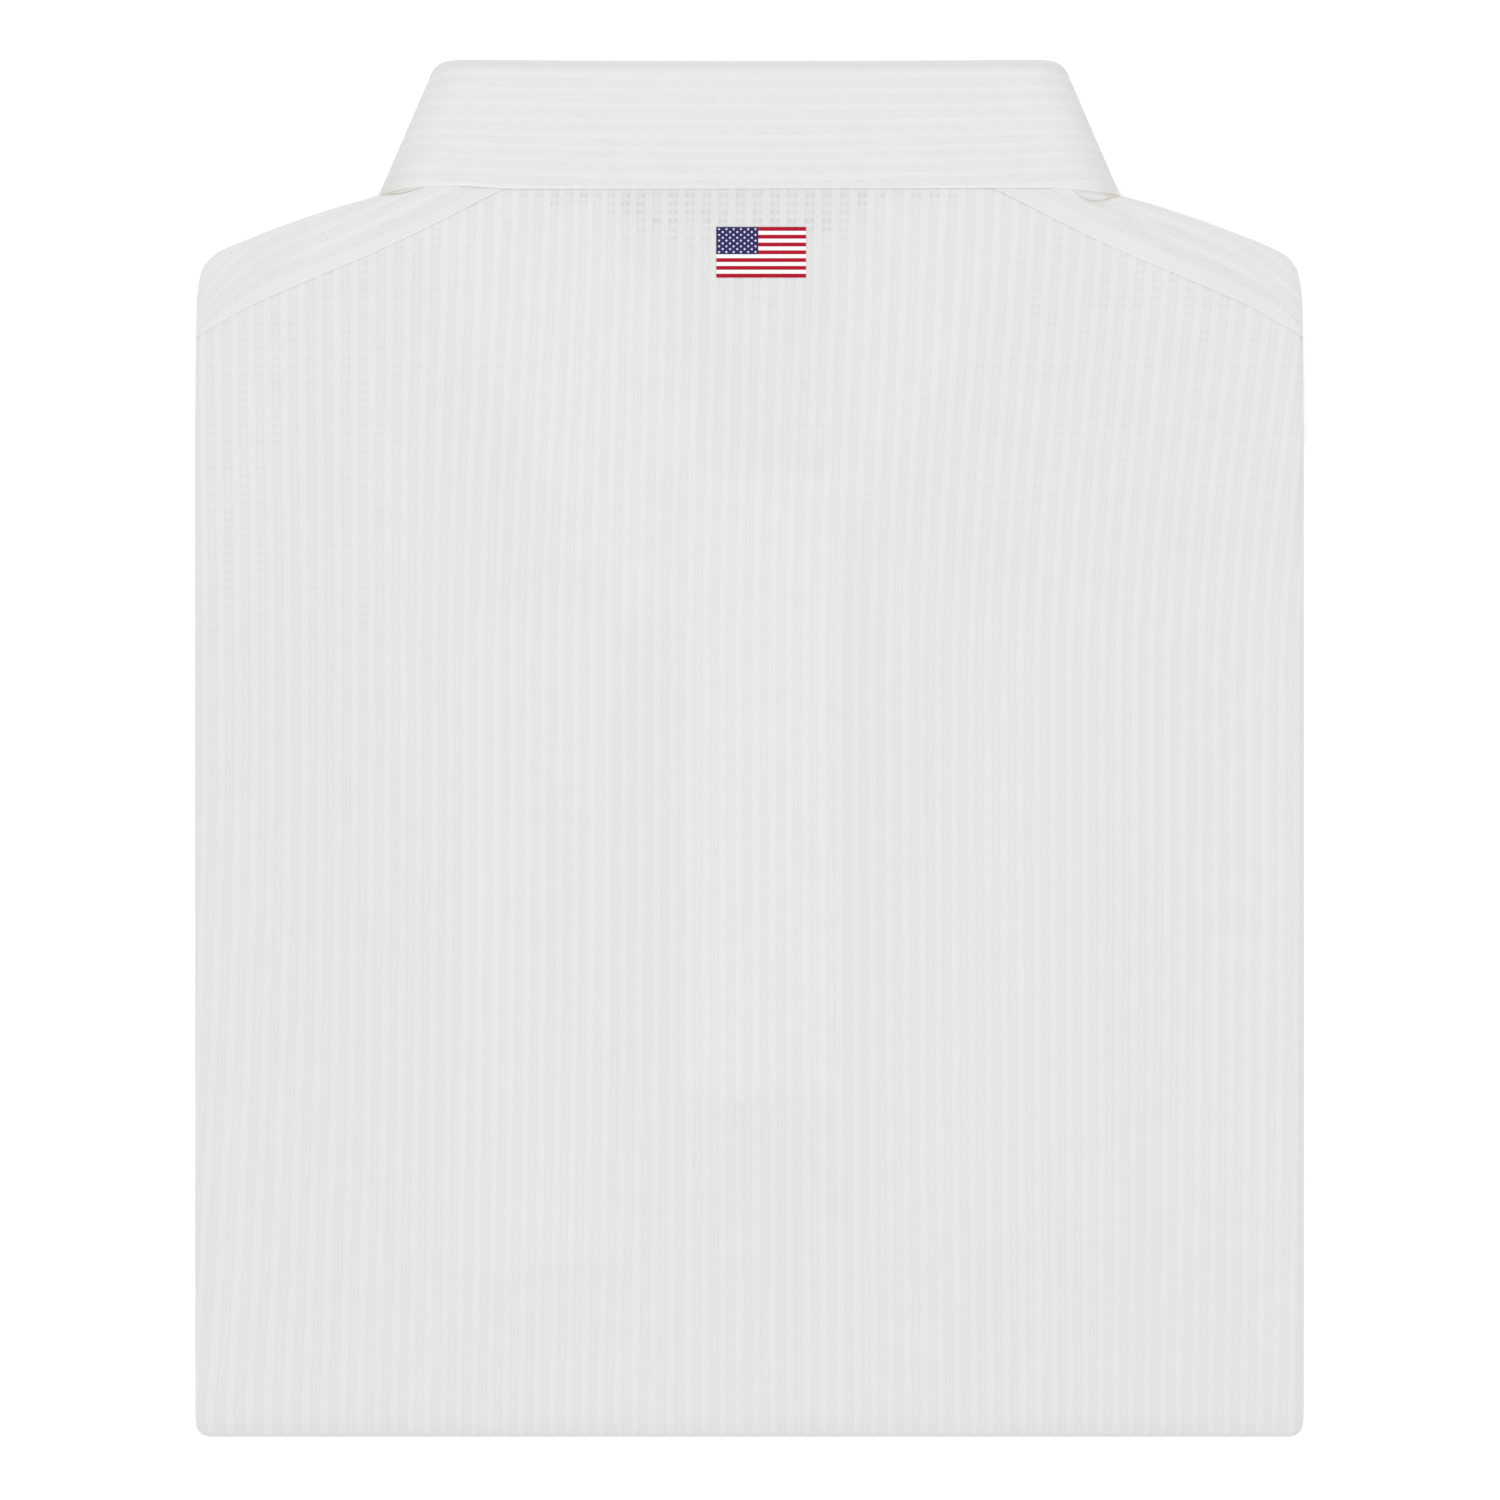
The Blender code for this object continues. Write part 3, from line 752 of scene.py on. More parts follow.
def back_stations():
    """Rows of the back from its upper edge down, round the bottom fold and up the tail: (part, value)."""
    upper = (*SEAM_SHARES, *[step / UPPER_STEPS for step in range(2, UPPER_STEPS + 1)])
    down = [lerp(STRAIGHT_Y, FOLD_AXIS_Y, step / STRAIGHT_STEPS) for step in range(1, STRAIGHT_STEPS + 1)]
    bend = [math.pi * step / BEND_STEPS for step in range(1, BEND_STEPS + 1)]
    tail = (*[FOLD_AXIS_Y + TAIL_CELL * step for step in range(1, TAIL_STEPS + 1)], *HEM_ROWS_Y)
    parts = (("lap", LAP_ROWS), ("upper", upper), ("down", down), ("bend", bend), ("tail", tail))
    return [(part, value) for part, values in parts for value in values]


def back_place(part, value, x, angle):
    """Point of the back at a station: x, y, z and its distance along the cloth."""
    height = (1 + math.sin(angle)) / 2
    if part in ("lap", "upper"):
        edge = back_edge_y(x, angle < 0)
        y = edge + value if part == "lap" else lerp(edge, STRAIGHT_Y, value)
        depth = SEAM_DIP * math.exp((y - edge) / SEAM_DIP_REACH)
        if part == "lap":
            depth = SEAM_DIP + LAP_FALL * value
        x -= math.copysign(depth * math.cos(angle), x)
        return x, y, upper_z(y, height) - depth * math.sin(angle), -y
    if part == "down":
        return x, value, upper_z(value, height), -value
    radius = lerp(PARTING, MID_Z, height)
    if part == "bend":
        y = FOLD_AXIS_Y - radius * math.sin(value)
        return x, y, MID_Z + radius * math.cos(value), MID_Z * value - FOLD_AXIS_Y
    groove = HEM_GROOVE * bell(value, HEM_STITCH_Y, HEM_GROOVE_HALF)
    return x, value, MID_Z - radius + groove, math.pi * MID_Z + value - 2 * FOLD_AXIS_Y


def back_row(part, value, columns):
    """Row of the back at a station, from the end of one turned-in leg to the other."""
    at_seam = part in ("lap", "upper")
    share = value if part == "upper" else 0.0
    half, leg_end = side_half(FOLD_AXIS_Y), LEG_HIDDEN_X
    if at_seam:
        half = side_half(lerp(YOKE_SEAM[-1][1], STRAIGHT_Y, share))
        leg_end = lerp(LEG_SHOWN_X, LEG_HIDDEN_X, ease(share, *LEG_CHANGE))
    end = 2 * (BODY_HALF - half) + math.pi * half - leg_end
    row = []
    for column in columns:
        lean_y = value if part == "down" else FOLD_AXIS_Y
        if at_seam:
            lean_y = lerp(back_edge_y(min(abs(column), BODY_HALF), False), STRAIGHT_Y, share)
        s = min(max(column + stripe_lean(column, lean_y), -end), end)
        x, angle = section_place(s, half, leg_end)
        x, y, z, along = back_place(part, value, x, angle)
        shade = 0.0
        # painted shade in the groove along the yoke seam
        if at_seam:
            above = min(y - back_edge_y(x, angle < 0), 0.0)
            shade = GROOVE_SHADE * math.exp(above / GROOVE_SHADE_REACH)
        if part == "bend":
            # painted shade on the rim of the bottom fold, where it turns away from the light
            shade = RIM_SHADE * ease(math.sin(value), *RIM_REACH)
        row.append((x, y, z, (column - BACK_OPEN_X) / STRIPE + OPEN_MIDDLE, along, shade))
    return row


def back_rows():
    """Rows of the back panel."""
    columns = back_columns()
    return [back_row(part, value, columns) for part, value in back_stations()]


def inward_normal(index):
    """Direction in plan from the shoulder's outline toward the body, level at the neck."""
    if index == 0:
        return (-1.0, 0.0)
    last = len(YOKE_SECTIONS) - 1
    before, after = YOKE_SECTIONS[index - 1], YOKE_SECTIONS[min(index + 1, last)]
    along = (0.0, -1.0) if index == last else (after[1] - before[1], after[2] - before[2])
    length = math.hypot(*along)
    return (along[1] / length, -along[0] / length)


def yoke_up(x, y, bend):
    """Distance of a point of the shoulder from the seam, bent down toward the rounded corner."""
    above = y - seam_y(x, False)
    corner = bend * max(x - YOKE_CORNER_X, 0.0) ** 2 * ease(above, 0.0, YOKE_CORNER_RISE)
    return (above + corner) * math.cos(YOKE_TILT)


def yoke_section(index, bend):
    """One section of the right yoke: from the seam, over the shoulder's fold, to the lip below."""
    seam_x, outline_x, outline_y = YOKE_SECTIONS[index]
    first, last = index == 0, index == len(YOKE_SECTIONS) - 1

    def kept_y(x, y, under):
        """y, or where the section runs along the neck seam or the yoke seam, that seam's."""
        if first:
            return neck_y(x, under)
        return seam_y(x, under) if last else y

    half = side_half(outline_y)
    normal = inward_normal(index)
    start_x = SEAM_RIM_X if last else seam_x + 2 * SEAM_SHIFT * first
    start = (start_x, seam_y(start_x, False))
    rim = start if last else (outline_x + normal[0] * half, outline_y + normal[1] * half)
    length = math.dist(start, rim)
    fade = 1 - ease(start_x, *SEAM_FADE)
    scale = min(1.0, SEAM_SCALE * length)
    places = [(scale * distance, fade * height) for distance, height in SEAM_PROFILE]
    edge = places[-1][0]
    places += [(lerp(edge, length, share), 0.0) for share in YOKE_SHARES]
    points = []
    for distance, rise in places:
        share = distance / max(length, 0.001)
        x, y = lerp(start[0], rim[0], share), lerp(start[1], rim[1], share)
        y = kept_y(x, y, False)
        points.append((x, y, top_height(y) + rise, yoke_up(x, y, bend)))
    level = yoke_up(*rim, bend)
    rate = normal[0] * (yoke_up(rim[0] - 0.5, rim[1], bend) - yoke_up(rim[0] + 0.5, rim[1], bend))
    rate += normal[1] * (yoke_up(rim[0], rim[1] - 0.5, bend) - yoke_up(rim[0], rim[1] + 0.5, bend))
    for step in range(1, FOLD_STEPS):
        angle = math.pi * (0.5 - step / FOLD_STEPS)
        inset = half * (1 - math.cos(angle))
        x, y = outline_x + normal[0] * inset, outline_y + normal[1] * inset
        y = kept_y(x, y, angle < 0)
        z = upper_z(y, (1 + math.sin(angle)) / 2)
        points.append((x, y, z, level + rate * half * (math.pi / 2 - angle)))
    level += rate * half * math.pi
    along = index / (len(YOKE_SECTIONS) - 1)
    lip_end_y = lerp(LIP_START[1], seam_y(LIP_END_X, True) + SEAM_SHIFT, along)
    for step in range(LIP_STEPS + 1):
        x = lerp(rim[0], lerp(LIP_START[0], LIP_END_X, along), step / LIP_STEPS)
        y = kept_y(x, lerp(rim[1], lip_end_y, step / LIP_STEPS), True)
        points.append((x, y, under_height(y), level + math.dist(rim, (x, y))))
    return points


def yoke_rows(band, bend):
    """Rows of the right yoke: a broad smooth band along the seam, then stripes along the shoulder."""
    cos, sin = math.cos(YOKE_TILT), math.sin(YOKE_TILT)
    rows = []
    for section in refined([yoke_section(index, bend) for index in range(len(YOKE_SECTIONS))], *YOKE_CELL):
        row = []
        for x, y, z, up in section:
            across = SMOOTH_SHARE * up / band
            if up > band:
                across = SMOOTH_SHARE + (up - band) / STRIPE
            # painted light and shade along the turned edge of the yoke
            shade = curve_height(YOKE_EDGE_SHADES, min(max(up, 0.0), YOKE_EDGE_SHADES[-1][0]))
            row.append((x, y, z, across, x * cos - y * sin, shade))
        rows.append(row)
    return rows


def shoulder_z(x, y):
    """Height of the shoulder's rounded upper face."""
    half = side_half(y)
    inside = (curve_height(SHOULDER_LINE, max(abs(x), SHOULDER_LINE[0][0])) - y) * SHOULDER_SLANT
    inside = min(max(inside, 0.0), half)
    return top_height(y) - half + math.sqrt(half**2 - (half - inside) ** 2)


def roll_y(x, front):
    """Top of the collar leaf: a slight dip across the back, and down to the opening in front."""
    across = min(abs(x) / LEAF_ROLL_HALF, 1.0)
    if front:
        side = LEAF_TOP_Y - LEAF_CORNER_DROP
        return side - (side - LEAF_FRONT_Y) * math.cos(across * math.pi / 2)
    return LEAF_TOP_Y - LEAF_TOP_DIP * (1 - across**2) - LEAF_CORNER_DROP * across**LEAF_CORNER_POWER


def ring_stations():
    """Stations round the collar from left front to right front: (side, part, share or angle)."""
    back = [step / RING_BACK_STEPS for step in range(RING_BACK_STEPS + 1)]
    right = [("back", 1 - (1 - share) ** RING_CROWDING) for share in back]
    right += [("side", math.pi * (0.5 - step / FOLD_STEPS)) for step in range(1, FOLD_STEPS)]
    right += [("front", step / RING_FRONT_STEPS) for step in range(RING_FRONT_STEPS + 1)]
    left = [(-1, part, share) for part, share in reversed(right[1:])]
    return left + [(1, part, share) for part, share in right]


def ring_place(part, share, half_width, low, high, opening):
    """Distance out, height and whether it is in front, of a station of a flattened ring."""
    half_height = (high - low) / 2
    rim = half_width - half_height
    if part == "back":
        return rim * share, high, False
    if part == "front":
        return lerp(rim, opening, share), low, True
    return rim + half_height * math.cos(share), low + half_height * (1 + math.sin(share)), share < 0


def leaf_edge(side, part, share, x):
    """Outer edge of the leaf at a station: (distance out, y)."""
    if part == "front":
        rim = LEAF_EDGE_HALF - LEAF_HEIGHT / 2
        return lerp(rim, LEAF_POINT[0], share), lerp(LEAF_SIDE_Y, LEAF_POINT[1], share)
    if part == "side" and share < 0:
        return x, lerp(LEAF_EDGE_LINE[0][1], LEAF_SIDE_Y, -math.sin(share))
    return x, curve_height(LEAF_EDGE_LINE, side * x)


def leaf_row(fall, turn, drop=0.0, tone=0.0):
    """Row of the leaf: fall is 0 at its lower edge and 1 at the roll, turn is the angle over the roll."""
    inset = ROLL_RADIUS * (1 - math.cos(turn))
    rise = ROLL_RADIUS * (math.sin(turn) - 1)
    low = 1 - ease(fall, 0.0, LEAF_LOWERED_TO)
    row = []
    for side, part, share in ring_stations():
        edge_x, _, _ = ring_place(part, share, LEAF_EDGE_HALF, 0.0, LEAF_HEIGHT, LEAF_POINT[0])
        edge_x, edge_y = leaf_edge(side, part, share, edge_x)
        outer_x, _, front = ring_place(part, share, LEAF_ROLL_HALF, 0.0, LEAF_HEIGHT, LEAF_OPENING)
        top_y = roll_y(outer_x, front) + rise
        top_x, z, _ = ring_place(
            part, share, LEAF_ROLL_HALF - inset, inset, LEAF_HEIGHT - inset, LEAF_OPENING
        )
        x, y = lerp(edge_x, top_x, fall), lerp(edge_y, top_y, fall)
        if z > LEAF_HEIGHT / 2:
            laid = min(z, shoulder_z(edge_x, edge_y) + LEAF_LIFT)
            z = lerp(z, laid - drop * ease(laid, *LEAF_LOWERED_Z), low)
        down = (1 - fall) * math.hypot(edge_x - outer_x, edge_y - top_y) + ROLL_RADIUS * (1 - turn)
        across = (down - COLLAR_OPEN_Y) / COLLAR_STRIPE + OPEN_MIDDLE + 0.5 * ease(down, *COLLAR_SKIP)
        end = lerp(LEAF_EDGE_HALF, LEAF_ROLL_HALF, fall)
        # painted shade at the ends of the collar and on the top of its roll
        shade = tone + LEAF_END_SHADES[side] * ease(x, end - LEAF_END_REACH, end)
        shade -= ROLL_TOP_SHADE * ease(fall, ROLL_TOP_FROM, 1.0)
        row.append((side * x, y, z, across, side * x, max(shade, -1.0)))
    return row


def rolled_rows(edge_row):
    """Rows below the leaf's lower edge, where its corners roll out over the shoulder."""
    rows = []
    for step in range(ROLL_OUT_ROWS):
        out = 1 - step / ROLL_OUT_ROWS
        row = []
        for x, y, z, across, along, shade in edge_row:
            roll, hollow, hollow_half = CORNER_ROLLS[1 if x > 0 else -1]
            reach = curve_height(roll, abs(x)) if z > LEAF_HEIGHT / 2 else 0.0
            if reach > ROLL_LEAST:
                y -= reach * out
                z = shoulder_z(x, y) + ROLL_LIFT + ROLL_BULGE * math.sin(math.pi * out) * min(reach, 1.0)
                # painted shade on the rolled corner, and a painted shadow in its hollow
                shade = lerp(ROLL_SHADE, HOLLOW_SHADE, bell(abs(x), hollow, hollow_half))
                shade += ROLL_LINE_SHADE * max(bell(out, *line) for line in ROLL_LINES)
                across = OPEN_MIDDLE - SMOOTH_SHARE - 0.2 * out
            row.append((x, y, z, across, along, shade))
        rows.append(row)
    return rows


def leaf_rows():
    """Rows of the collar leaf: up its fall, over the roll, and a short way down inside."""
    fall_length = LEAF_TOP_Y - LEAF_EDGE_Y
    # the lowest rows carry painted light against the shadow under the collar's edge
    edge = [leaf_row(distance / fall_length, 0.0, drop, tone) for distance, drop, tone in LEAF_EDGE_ROUND]
    rows = rolled_rows(edge[0]) + edge
    rows += [leaf_row(row / LEAF_ROWS, 0.0) for row in range(2, LEAF_ROWS + 1)]
    rows += [leaf_row(1.0, math.pi * step / ROLL_STEPS) for step in range(1, ROLL_STEPS + 1)]
    inside = []
    for x, y, z, across, along, shade in rows[-1]:
        inside.append((x, y - ROLL_END, z, across - 0.2, along, shade))
    return rows + [inside]


def stand_rows():
    """Rows of the collar stand, from the neck seam up to the leaf's turned-in end."""
    end_drop = ROLL_RADIUS + ROLL_END - STAND_LAP
    rows = []
    for row in range(STAND_ROWS + 1):
        share = row / STAND_ROWS
        half_width = lerp(NECK_HALF, STAND_TOP_HALF, share)
        points = []
        for side, part, place in ring_stations():
            x, z, front = ring_place(part, place, half_width, NECK_UNDER_Z, NECK_TOP_Z, STAND_OPENING)
            low = neck_y(x, front) + SEAM_SHIFT
            over = x
            if part == "side":
                over, _, _ = ring_place(part, place, LEAF_ROLL_HALF, 0.0, LEAF_HEIGHT, STAND_OPENING)
            y = lerp(low, roll_y(over, front) - end_drop, share)
            if part == "front":
                z = under_height(y)
            points.append((side * x, y, z, (y - low) / STRIPE, side * x, 0.0))
        rows.append(points)
    return rows


def patch(columns, rows, place, turn, cells):
    """Flat cloth: its points come from place(share across, share up), its stripes are turned by an angle."""
    cos, sin = math.cos(turn), math.sin(turn)
    coarse = [[place(i / columns, j / rows) for i in range(columns + 1)] for j in range(rows + 1)]
    return [
        [(x, y, z, (x * cos + y * sin) / STRIPE, y * cos - x * sin, 0.0) for x, y, z in row]
        for row in refined(coarse, *cells)
    ]


def front_top_y(x):
    """Upper edge of the front panel: the neck seam, then a tuck behind the yoke's lip."""
    if abs(x) < LIP_START[0] + FRONT_OVERLAP / 2:
        return neck_y(x, True) + NECK_LAP
    slope = (seam_y(LIP_END_X, True) - LIP_START[1]) / (LIP_END_X - LIP_START[0])
    return LIP_START[1] + FRONT_OVERLAP + slope * (abs(x) - LIP_START[0])


def front_place(across, up):
    """Point of the front panel, seen on the underside from its tuck up to the neck."""
    top_x = FRONT_TOP_X * (2 * across - 1)
    x = lerp(FRONT_TUCK_X * (2 * across - 1), top_x, up)
    y = lerp(FRONT_TUCK_Y, front_top_y(top_x), up)
    return x, y, under_height(y) + CLOTH + LAYER_GAP


def placket_place(across, up):
    """Point of the placket, a strip under the front panel."""
    y = lerp(FRONT_TUCK_Y, PLACKET_TOP_Y, up)
    return PLACKET_HALF * (2 * across - 1), y, under_height(y) + PLACKET_RISE


def sleeve_place(across, up):
    """Point of the right sleeve, seen between the turned-in side and the front's middle."""
    y = lerp(FRONT_TUCK_Y, SLEEVE_TOP_Y - SLEEVE_TOP_FALL * (1 - across), up)
    return lerp(SLEEVE_INNER_X, SLEEVE_OUTER_X, across), y, under_height(y)


def stripe_relief(across):
    """Height of the cloth's face against its highest: grooves at the edges of each band."""
    phase = across % 1.0
    if phase < SMOOTH_SHARE:
        return PUFF * (math.sin(math.pi * phase / SMOOTH_SHARE) ** 0.5 - 1)
    swell = math.sin(math.pi * (phase - SMOOTH_SHARE) / (1 - SMOOTH_SHARE))
    return PUFF * (OPEN_PUFF * max(swell, 0.0) ** 0.5 - 1)


def crease_height(face, x, y):
    """Height that the creases of one face add at a point."""
    height = 0.0
    for crease_face, mid_x, mid_y, angle, half_length, half_width, depth in CREASES:
        if crease_face != face:
            continue
        cos, sin = math.cos(math.radians(angle)), math.sin(math.radians(angle))
        along = (x - mid_x) * cos + (y - mid_y) * sin
        across = (y - mid_y) * cos - (x - mid_x) * sin
        if abs(along) < 2 * half_length and abs(across) < 3 * half_width:
            height += depth * bell(along, 0, half_length) * bell(across, 0, half_width)
    return height


def creased(vertex):
    """Height that the creases add to a point along its normal, in millimetres."""
    x, y, z = vertex.co / MM
    up = vertex.normal.z
    if up > 0.5:
        return crease_height("top", x, y) * up
    if up < -0.5 and z > 1.0:
        return crease_height("under", x, y)
    return 0.0


def new_grid(rows):
    """Mesh being built, its weave layer, and the rows of its vertices, each with its place on the cloth."""
    built = bmesh.new()
    weave = built.verts.layers.float_vector.new("weave")
    grid = []
    for row in rows:
        line = []
        for x, y, z, *place in row:
            vertex = built.verts.new((x * MM, y * MM, z * MM))
            vertex[weave] = place
            line.append(vertex)
        grid.append(line)
    return built, weave, grid


def bridge(built, lines, closed=False):
    """Faces between each line of vertices and the next."""
    faces = []
    for near, far in zip(lines, lines[1:]):
        for i in range(len(near) if closed else len(near) - 1):
            j = (i + 1) % len(near)
            faces.append(built.faces.new((near[i], far[i], far[j], near[j])))
    return faces


def finished_mesh(built, name, solid=False, smooth=True):
    """Mesh of what was built; the faces of a solid are first made to look outward."""
    if solid:
        bmesh.ops.recalc_face_normals(built, faces=built.faces)
    for face in built.faces:
        face.smooth = smooth
    mesh = bpy.data.meshes.new(name)
    built.to_mesh(mesh)
    built.free()
    return mesh


def grid_mesh(name, rows):
    """Open surface through rows of points, raised in the cloth's own stripes and creases."""
    built, weave, grid = new_grid(rows)
    bridge(built, grid)
    bmesh.ops.remove_doubles(built, verts=built.verts, dist=JOIN_DISTANCE * MM)
    built.normal_update()
    for vertex in built.verts:
        crease = creased(vertex)
        # painted shade in crease troughs and painted light on their ridges
        vertex[weave].z += CREASE_SHADE * crease
        vertex.co += vertex.normal * (stripe_relief(vertex[weave].x) + crease) * MM
    return finished_mesh(built, name)


def new_object(name, data):
    """Object with this data, in the scene."""
    made = bpy.data.objects.new(name, data)
    bpy.context.scene.collection.objects.link(made)
    return made


def add_piece(name, mesh, material, nodes=()):
    """Piece of the shirt that rides on its body, with its material, and stands for some nodes."""
    mesh.materials.append(material)
    made = new_object(name, mesh)
    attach(made, "root")
    if nodes:
        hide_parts(*nodes)
    return made


def apply_modifiers(made):
    """Turn the piece's modifiers into its own mesh, with sharp edges kept crisp."""
    bpy.context.view_layer.update()
    done = made.evaluated_get(bpy.context.evaluated_depsgraph_get())
    mesh = bpy.data.meshes.new_from_object(done)
    mesh.set_sharp_from_angle(angle=SHARP_ANGLE)
    made.modifiers.clear()
    made.data = mesh


def cloth_piece(name, rows, wall, material, slot, node):
    """Wall of cloth whose outer face runs through the rows."""
    made = add_piece(name, grid_mesh(name, rows), material, (node,))
    thickness = made.modifiers.new("cloth", "SOLIDIFY")
    thickness.thickness = wall * MM
    thickness.offset = -1.0
    thickness.use_even_offset = False
    apply_modifiers(made)


def inner_section(low, high, half_width):
    """Section of a folded layer, rounded at both sides: (x, share of height)."""
    middle, reach = (low + high) / 2, (high - low) / 2
    rounding = reach * (MID_Z - PARTING)
    points = []
    for side in (1, -1):
        for step in range(INNER_ROUND_STEPS + 1):
            angle = side * math.pi * (0.5 - step / INNER_ROUND_STEPS)
            x = side * (half_width - rounding + rounding * math.cos(angle))
            points.append((x, middle + reach * math.sin(angle)))
    return points


def inner_rings(low, high, upper_end, lower_end):
    """Rings of a folded layer, from its upper end round the bottom fold to its lower end."""
    rings = []
    for step in range(INNER_STEPS + 1):
        y = lerp(upper_end, FOLD_AXIS_Y, step / INNER_STEPS)
        before, after = next(pair for pair in zip(INNER_HALF, INNER_HALF[1:]) if y <= pair[1][0])
        half_width = lerp(before[1], after[1], (y - before[0]) / (after[0] - before[0]))
        taper = ease(upper_end - y, -1.0, 2.0)
        middle = (low + high) / 2
        section = inner_section(lerp(middle, low, taper), lerp(middle, high, taper), half_width)
        rings.append([(x, y, upper_z(y, share)) for x, share in section])
    section = [(x, lerp(PARTING, MID_Z, share)) for x, share in inner_section(low, high, INNER_HALF[0][1])]
    for step in range(1, INNER_BEND_STEPS):
        angle = math.pi * step / INNER_BEND_STEPS
        down, up = math.sin(angle), math.cos(angle)
        rings.append([(x, FOLD_AXIS_Y - radius * down, MID_Z + radius * up) for x, radius in section])
    for step in range(INNER_TAIL_STEPS + 1):
        y = lerp(FOLD_AXIS_Y, lower_end, step / INNER_TAIL_STEPS)
        rings.append([(x, y, MID_Z - radius) for x, radius in section])
    return rings


def inner_fold(name, low, high, upper_end, lower_end, material):
    """Folded cloth between the layers, closed at both ends."""
    rings = inner_rings(low, high, upper_end, lower_end)
    rows = []
    for i, ring in enumerate(rings):
        rows.append([(*point, point[0] / STRIPE, INNER_ROW * i, INNER_SHADE) for point in ring])
    built, _, lines = new_grid(rows)
    bridge(built, lines, closed=True)
    built.faces.new(lines[0])
    built.faces.new(lines[-1])
    mesh = finished_mesh(built, name, solid=True)
    mesh.set_sharp_from_angle(angle=SHARP_ANGLE)
    made = add_piece(name, mesh, material, ("inner_layers",))


def tube(built, points, radius, sides=6):
    """Closed round thread through points."""
    rings = []
    for i, point in enumerate(points):
        before, after = points[max(i - 1, 0)], points[min(i + 1, len(points) - 1)]
        along = (Vector(after) - Vector(before)).normalized()
        side = along.cross(Vector((0, 0, 1)))
        if side.length < 0.01:
            side = along.cross(Vector((1, 0, 0)))
        side.normalize()
        over = side.cross(along)
        ring = []
        for k in range(sides):
            angle = 2 * math.pi * k / sides
            spot = Vector(point) + radius * (math.cos(angle) * side + math.sin(angle) * over)
            ring.append(built.verts.new(spot * MM))
        rings.append(ring)
    bridge(built, rings, closed=True)
    built.faces.new(rings[0][::-1])
    built.faces.new(rings[-1])


def thread_piece(name, paths, radius, material):
    """Piece made of many short threads."""
    built = bmesh.new()
    for path in paths:
        tube(built, path, radius)
    add_piece(name, finished_mesh(built, name, solid=True), material)


def stitch_line(start, end, face_z):
    """Stitches in a straight line in plan, under a face whose height is face_z(y)."""
    length = math.dist(start, end)
    paths = []
    for i in range(int(length / STITCH_PITCH)):
        path = []
        for offset, lift in STITCH_ARCH:
            share = (i * STITCH_PITCH + STITCH_START + offset * STITCH_LENGTH) / length
            x, y = lerp(start[0], end[0], share), lerp(start[1], end[1], share)
            path.append((x, y, face_z(y) - lift))
        paths.append(path)
    return paths


def stitches(thread):
    """Rows of stitches on the tail's hem, the placket and the sleeves' hems."""
    tail = stitch_line((-TAIL_STITCH_X, HEM_STITCH_Y), (TAIL_STITCH_X, HEM_STITCH_Y), lambda y: HEM_GROOVE)
    thread_piece("tail_stitches", tail, STITCH_RADIUS, thread)
    low_y = FRONT_TUCK_Y + STITCH_FROM_TUCK
    placket = []
    for x in (PLACKET_STITCH_X - PLACKET_HALF, PLACKET_HALF - PLACKET_STITCH_X):
        end = (x, PLACKET_TOP_Y - STITCH_FROM_TOP)
        placket += stitch_line((x, low_y), end, lambda y: under_height(y) + PLACKET_RISE)
    thread_piece("placket_stitches", placket, STITCH_RADIUS, thread)
    top_y = SLEEVE_TOP_Y - SLEEVE_TOP_FALL - STITCH_FROM_TOP
    for name, side in (("right_sleeve_stitches", 1), ("left_sleeve_stitches", -1)):
        x = side * (SLEEVE_INNER_X + SLEEVE_HEM)
        hem = stitch_line((x, low_y), (x, top_y), under_height)
        thread_piece(name, hem, STITCH_RADIUS, thread)


def flag_point(x, y, lift):
    """Point on the print, just over the back's face."""
    return (x * MM, y * MM, (top_height(y) + crease_height("top", x, y) + FLAG_LIFT + lift) * MM)


def flag_patch(built, x, y, width, height, lift, columns, slot):
    """Thin strip of print that follows the back's face."""
    lines = []
    for column in range(columns + 1):
        place = x + width * column / columns
        lines.append([built.verts.new(flag_point(place, y + height * up, lift)) for up in (0.0, 0.5, 1.0)])
    for face in bridge(built, lines):
        face.material_index = slot


def flag_star(built, x, y, slot):
    """Small five-pointed star on the canton."""
    points = []
    for k in range(10):
        angle = math.pi / 2 + k * math.pi / 5
        radius = STAR_RADIUS * (STAR_INSIDE if k % 2 else 1)
        place = flag_point(x + radius * math.cos(angle), y + radius * math.sin(angle), 2 * FLAG_LAYER)
        points.append(built.verts.new(place))
    built.faces.new(points).material_index = slot


def printed_flag(paints):
    """The small flag on the back, under the collar: its paints are red, white and blue."""
    built = bmesh.new()
    stripe = FLAG_HEIGHT / FLAG_STRIPES
    for k in range(FLAG_STRIPES):
        flag_patch(built, FLAG_X, FLAG_Y + k * stripe, FLAG_WIDTH, stripe, 0.0, FLAG_CELLS, k % 2)
    low = FLAG_Y + (FLAG_STRIPES - CANTON_STRIPES) * stripe
    high = CANTON_STRIPES * stripe
    flag_patch(built, FLAG_X, low, CANTON_WIDTH, high, FLAG_LAYER, FLAG_CELLS // 2, 2)
    across = STAR_COLUMNS - 1 + 2 * STAR_MARGIN
    up = STAR_ROWS - 1 + 2 * STAR_MARGIN
    for row in range(STAR_ROWS):
        for column in range(row % 2, STAR_COLUMNS, 2):
            x = FLAG_X + CANTON_WIDTH * (column + STAR_MARGIN) / across
            flag_star(built, x, low + high * (row + STAR_MARGIN) / up, 1)
    mesh = finished_mesh(built, "flag_print", smooth=False)
    add_piece("flag_print", mesh, paints[0])
    for paint in paints[1:]:
        mesh.materials.append(paint)


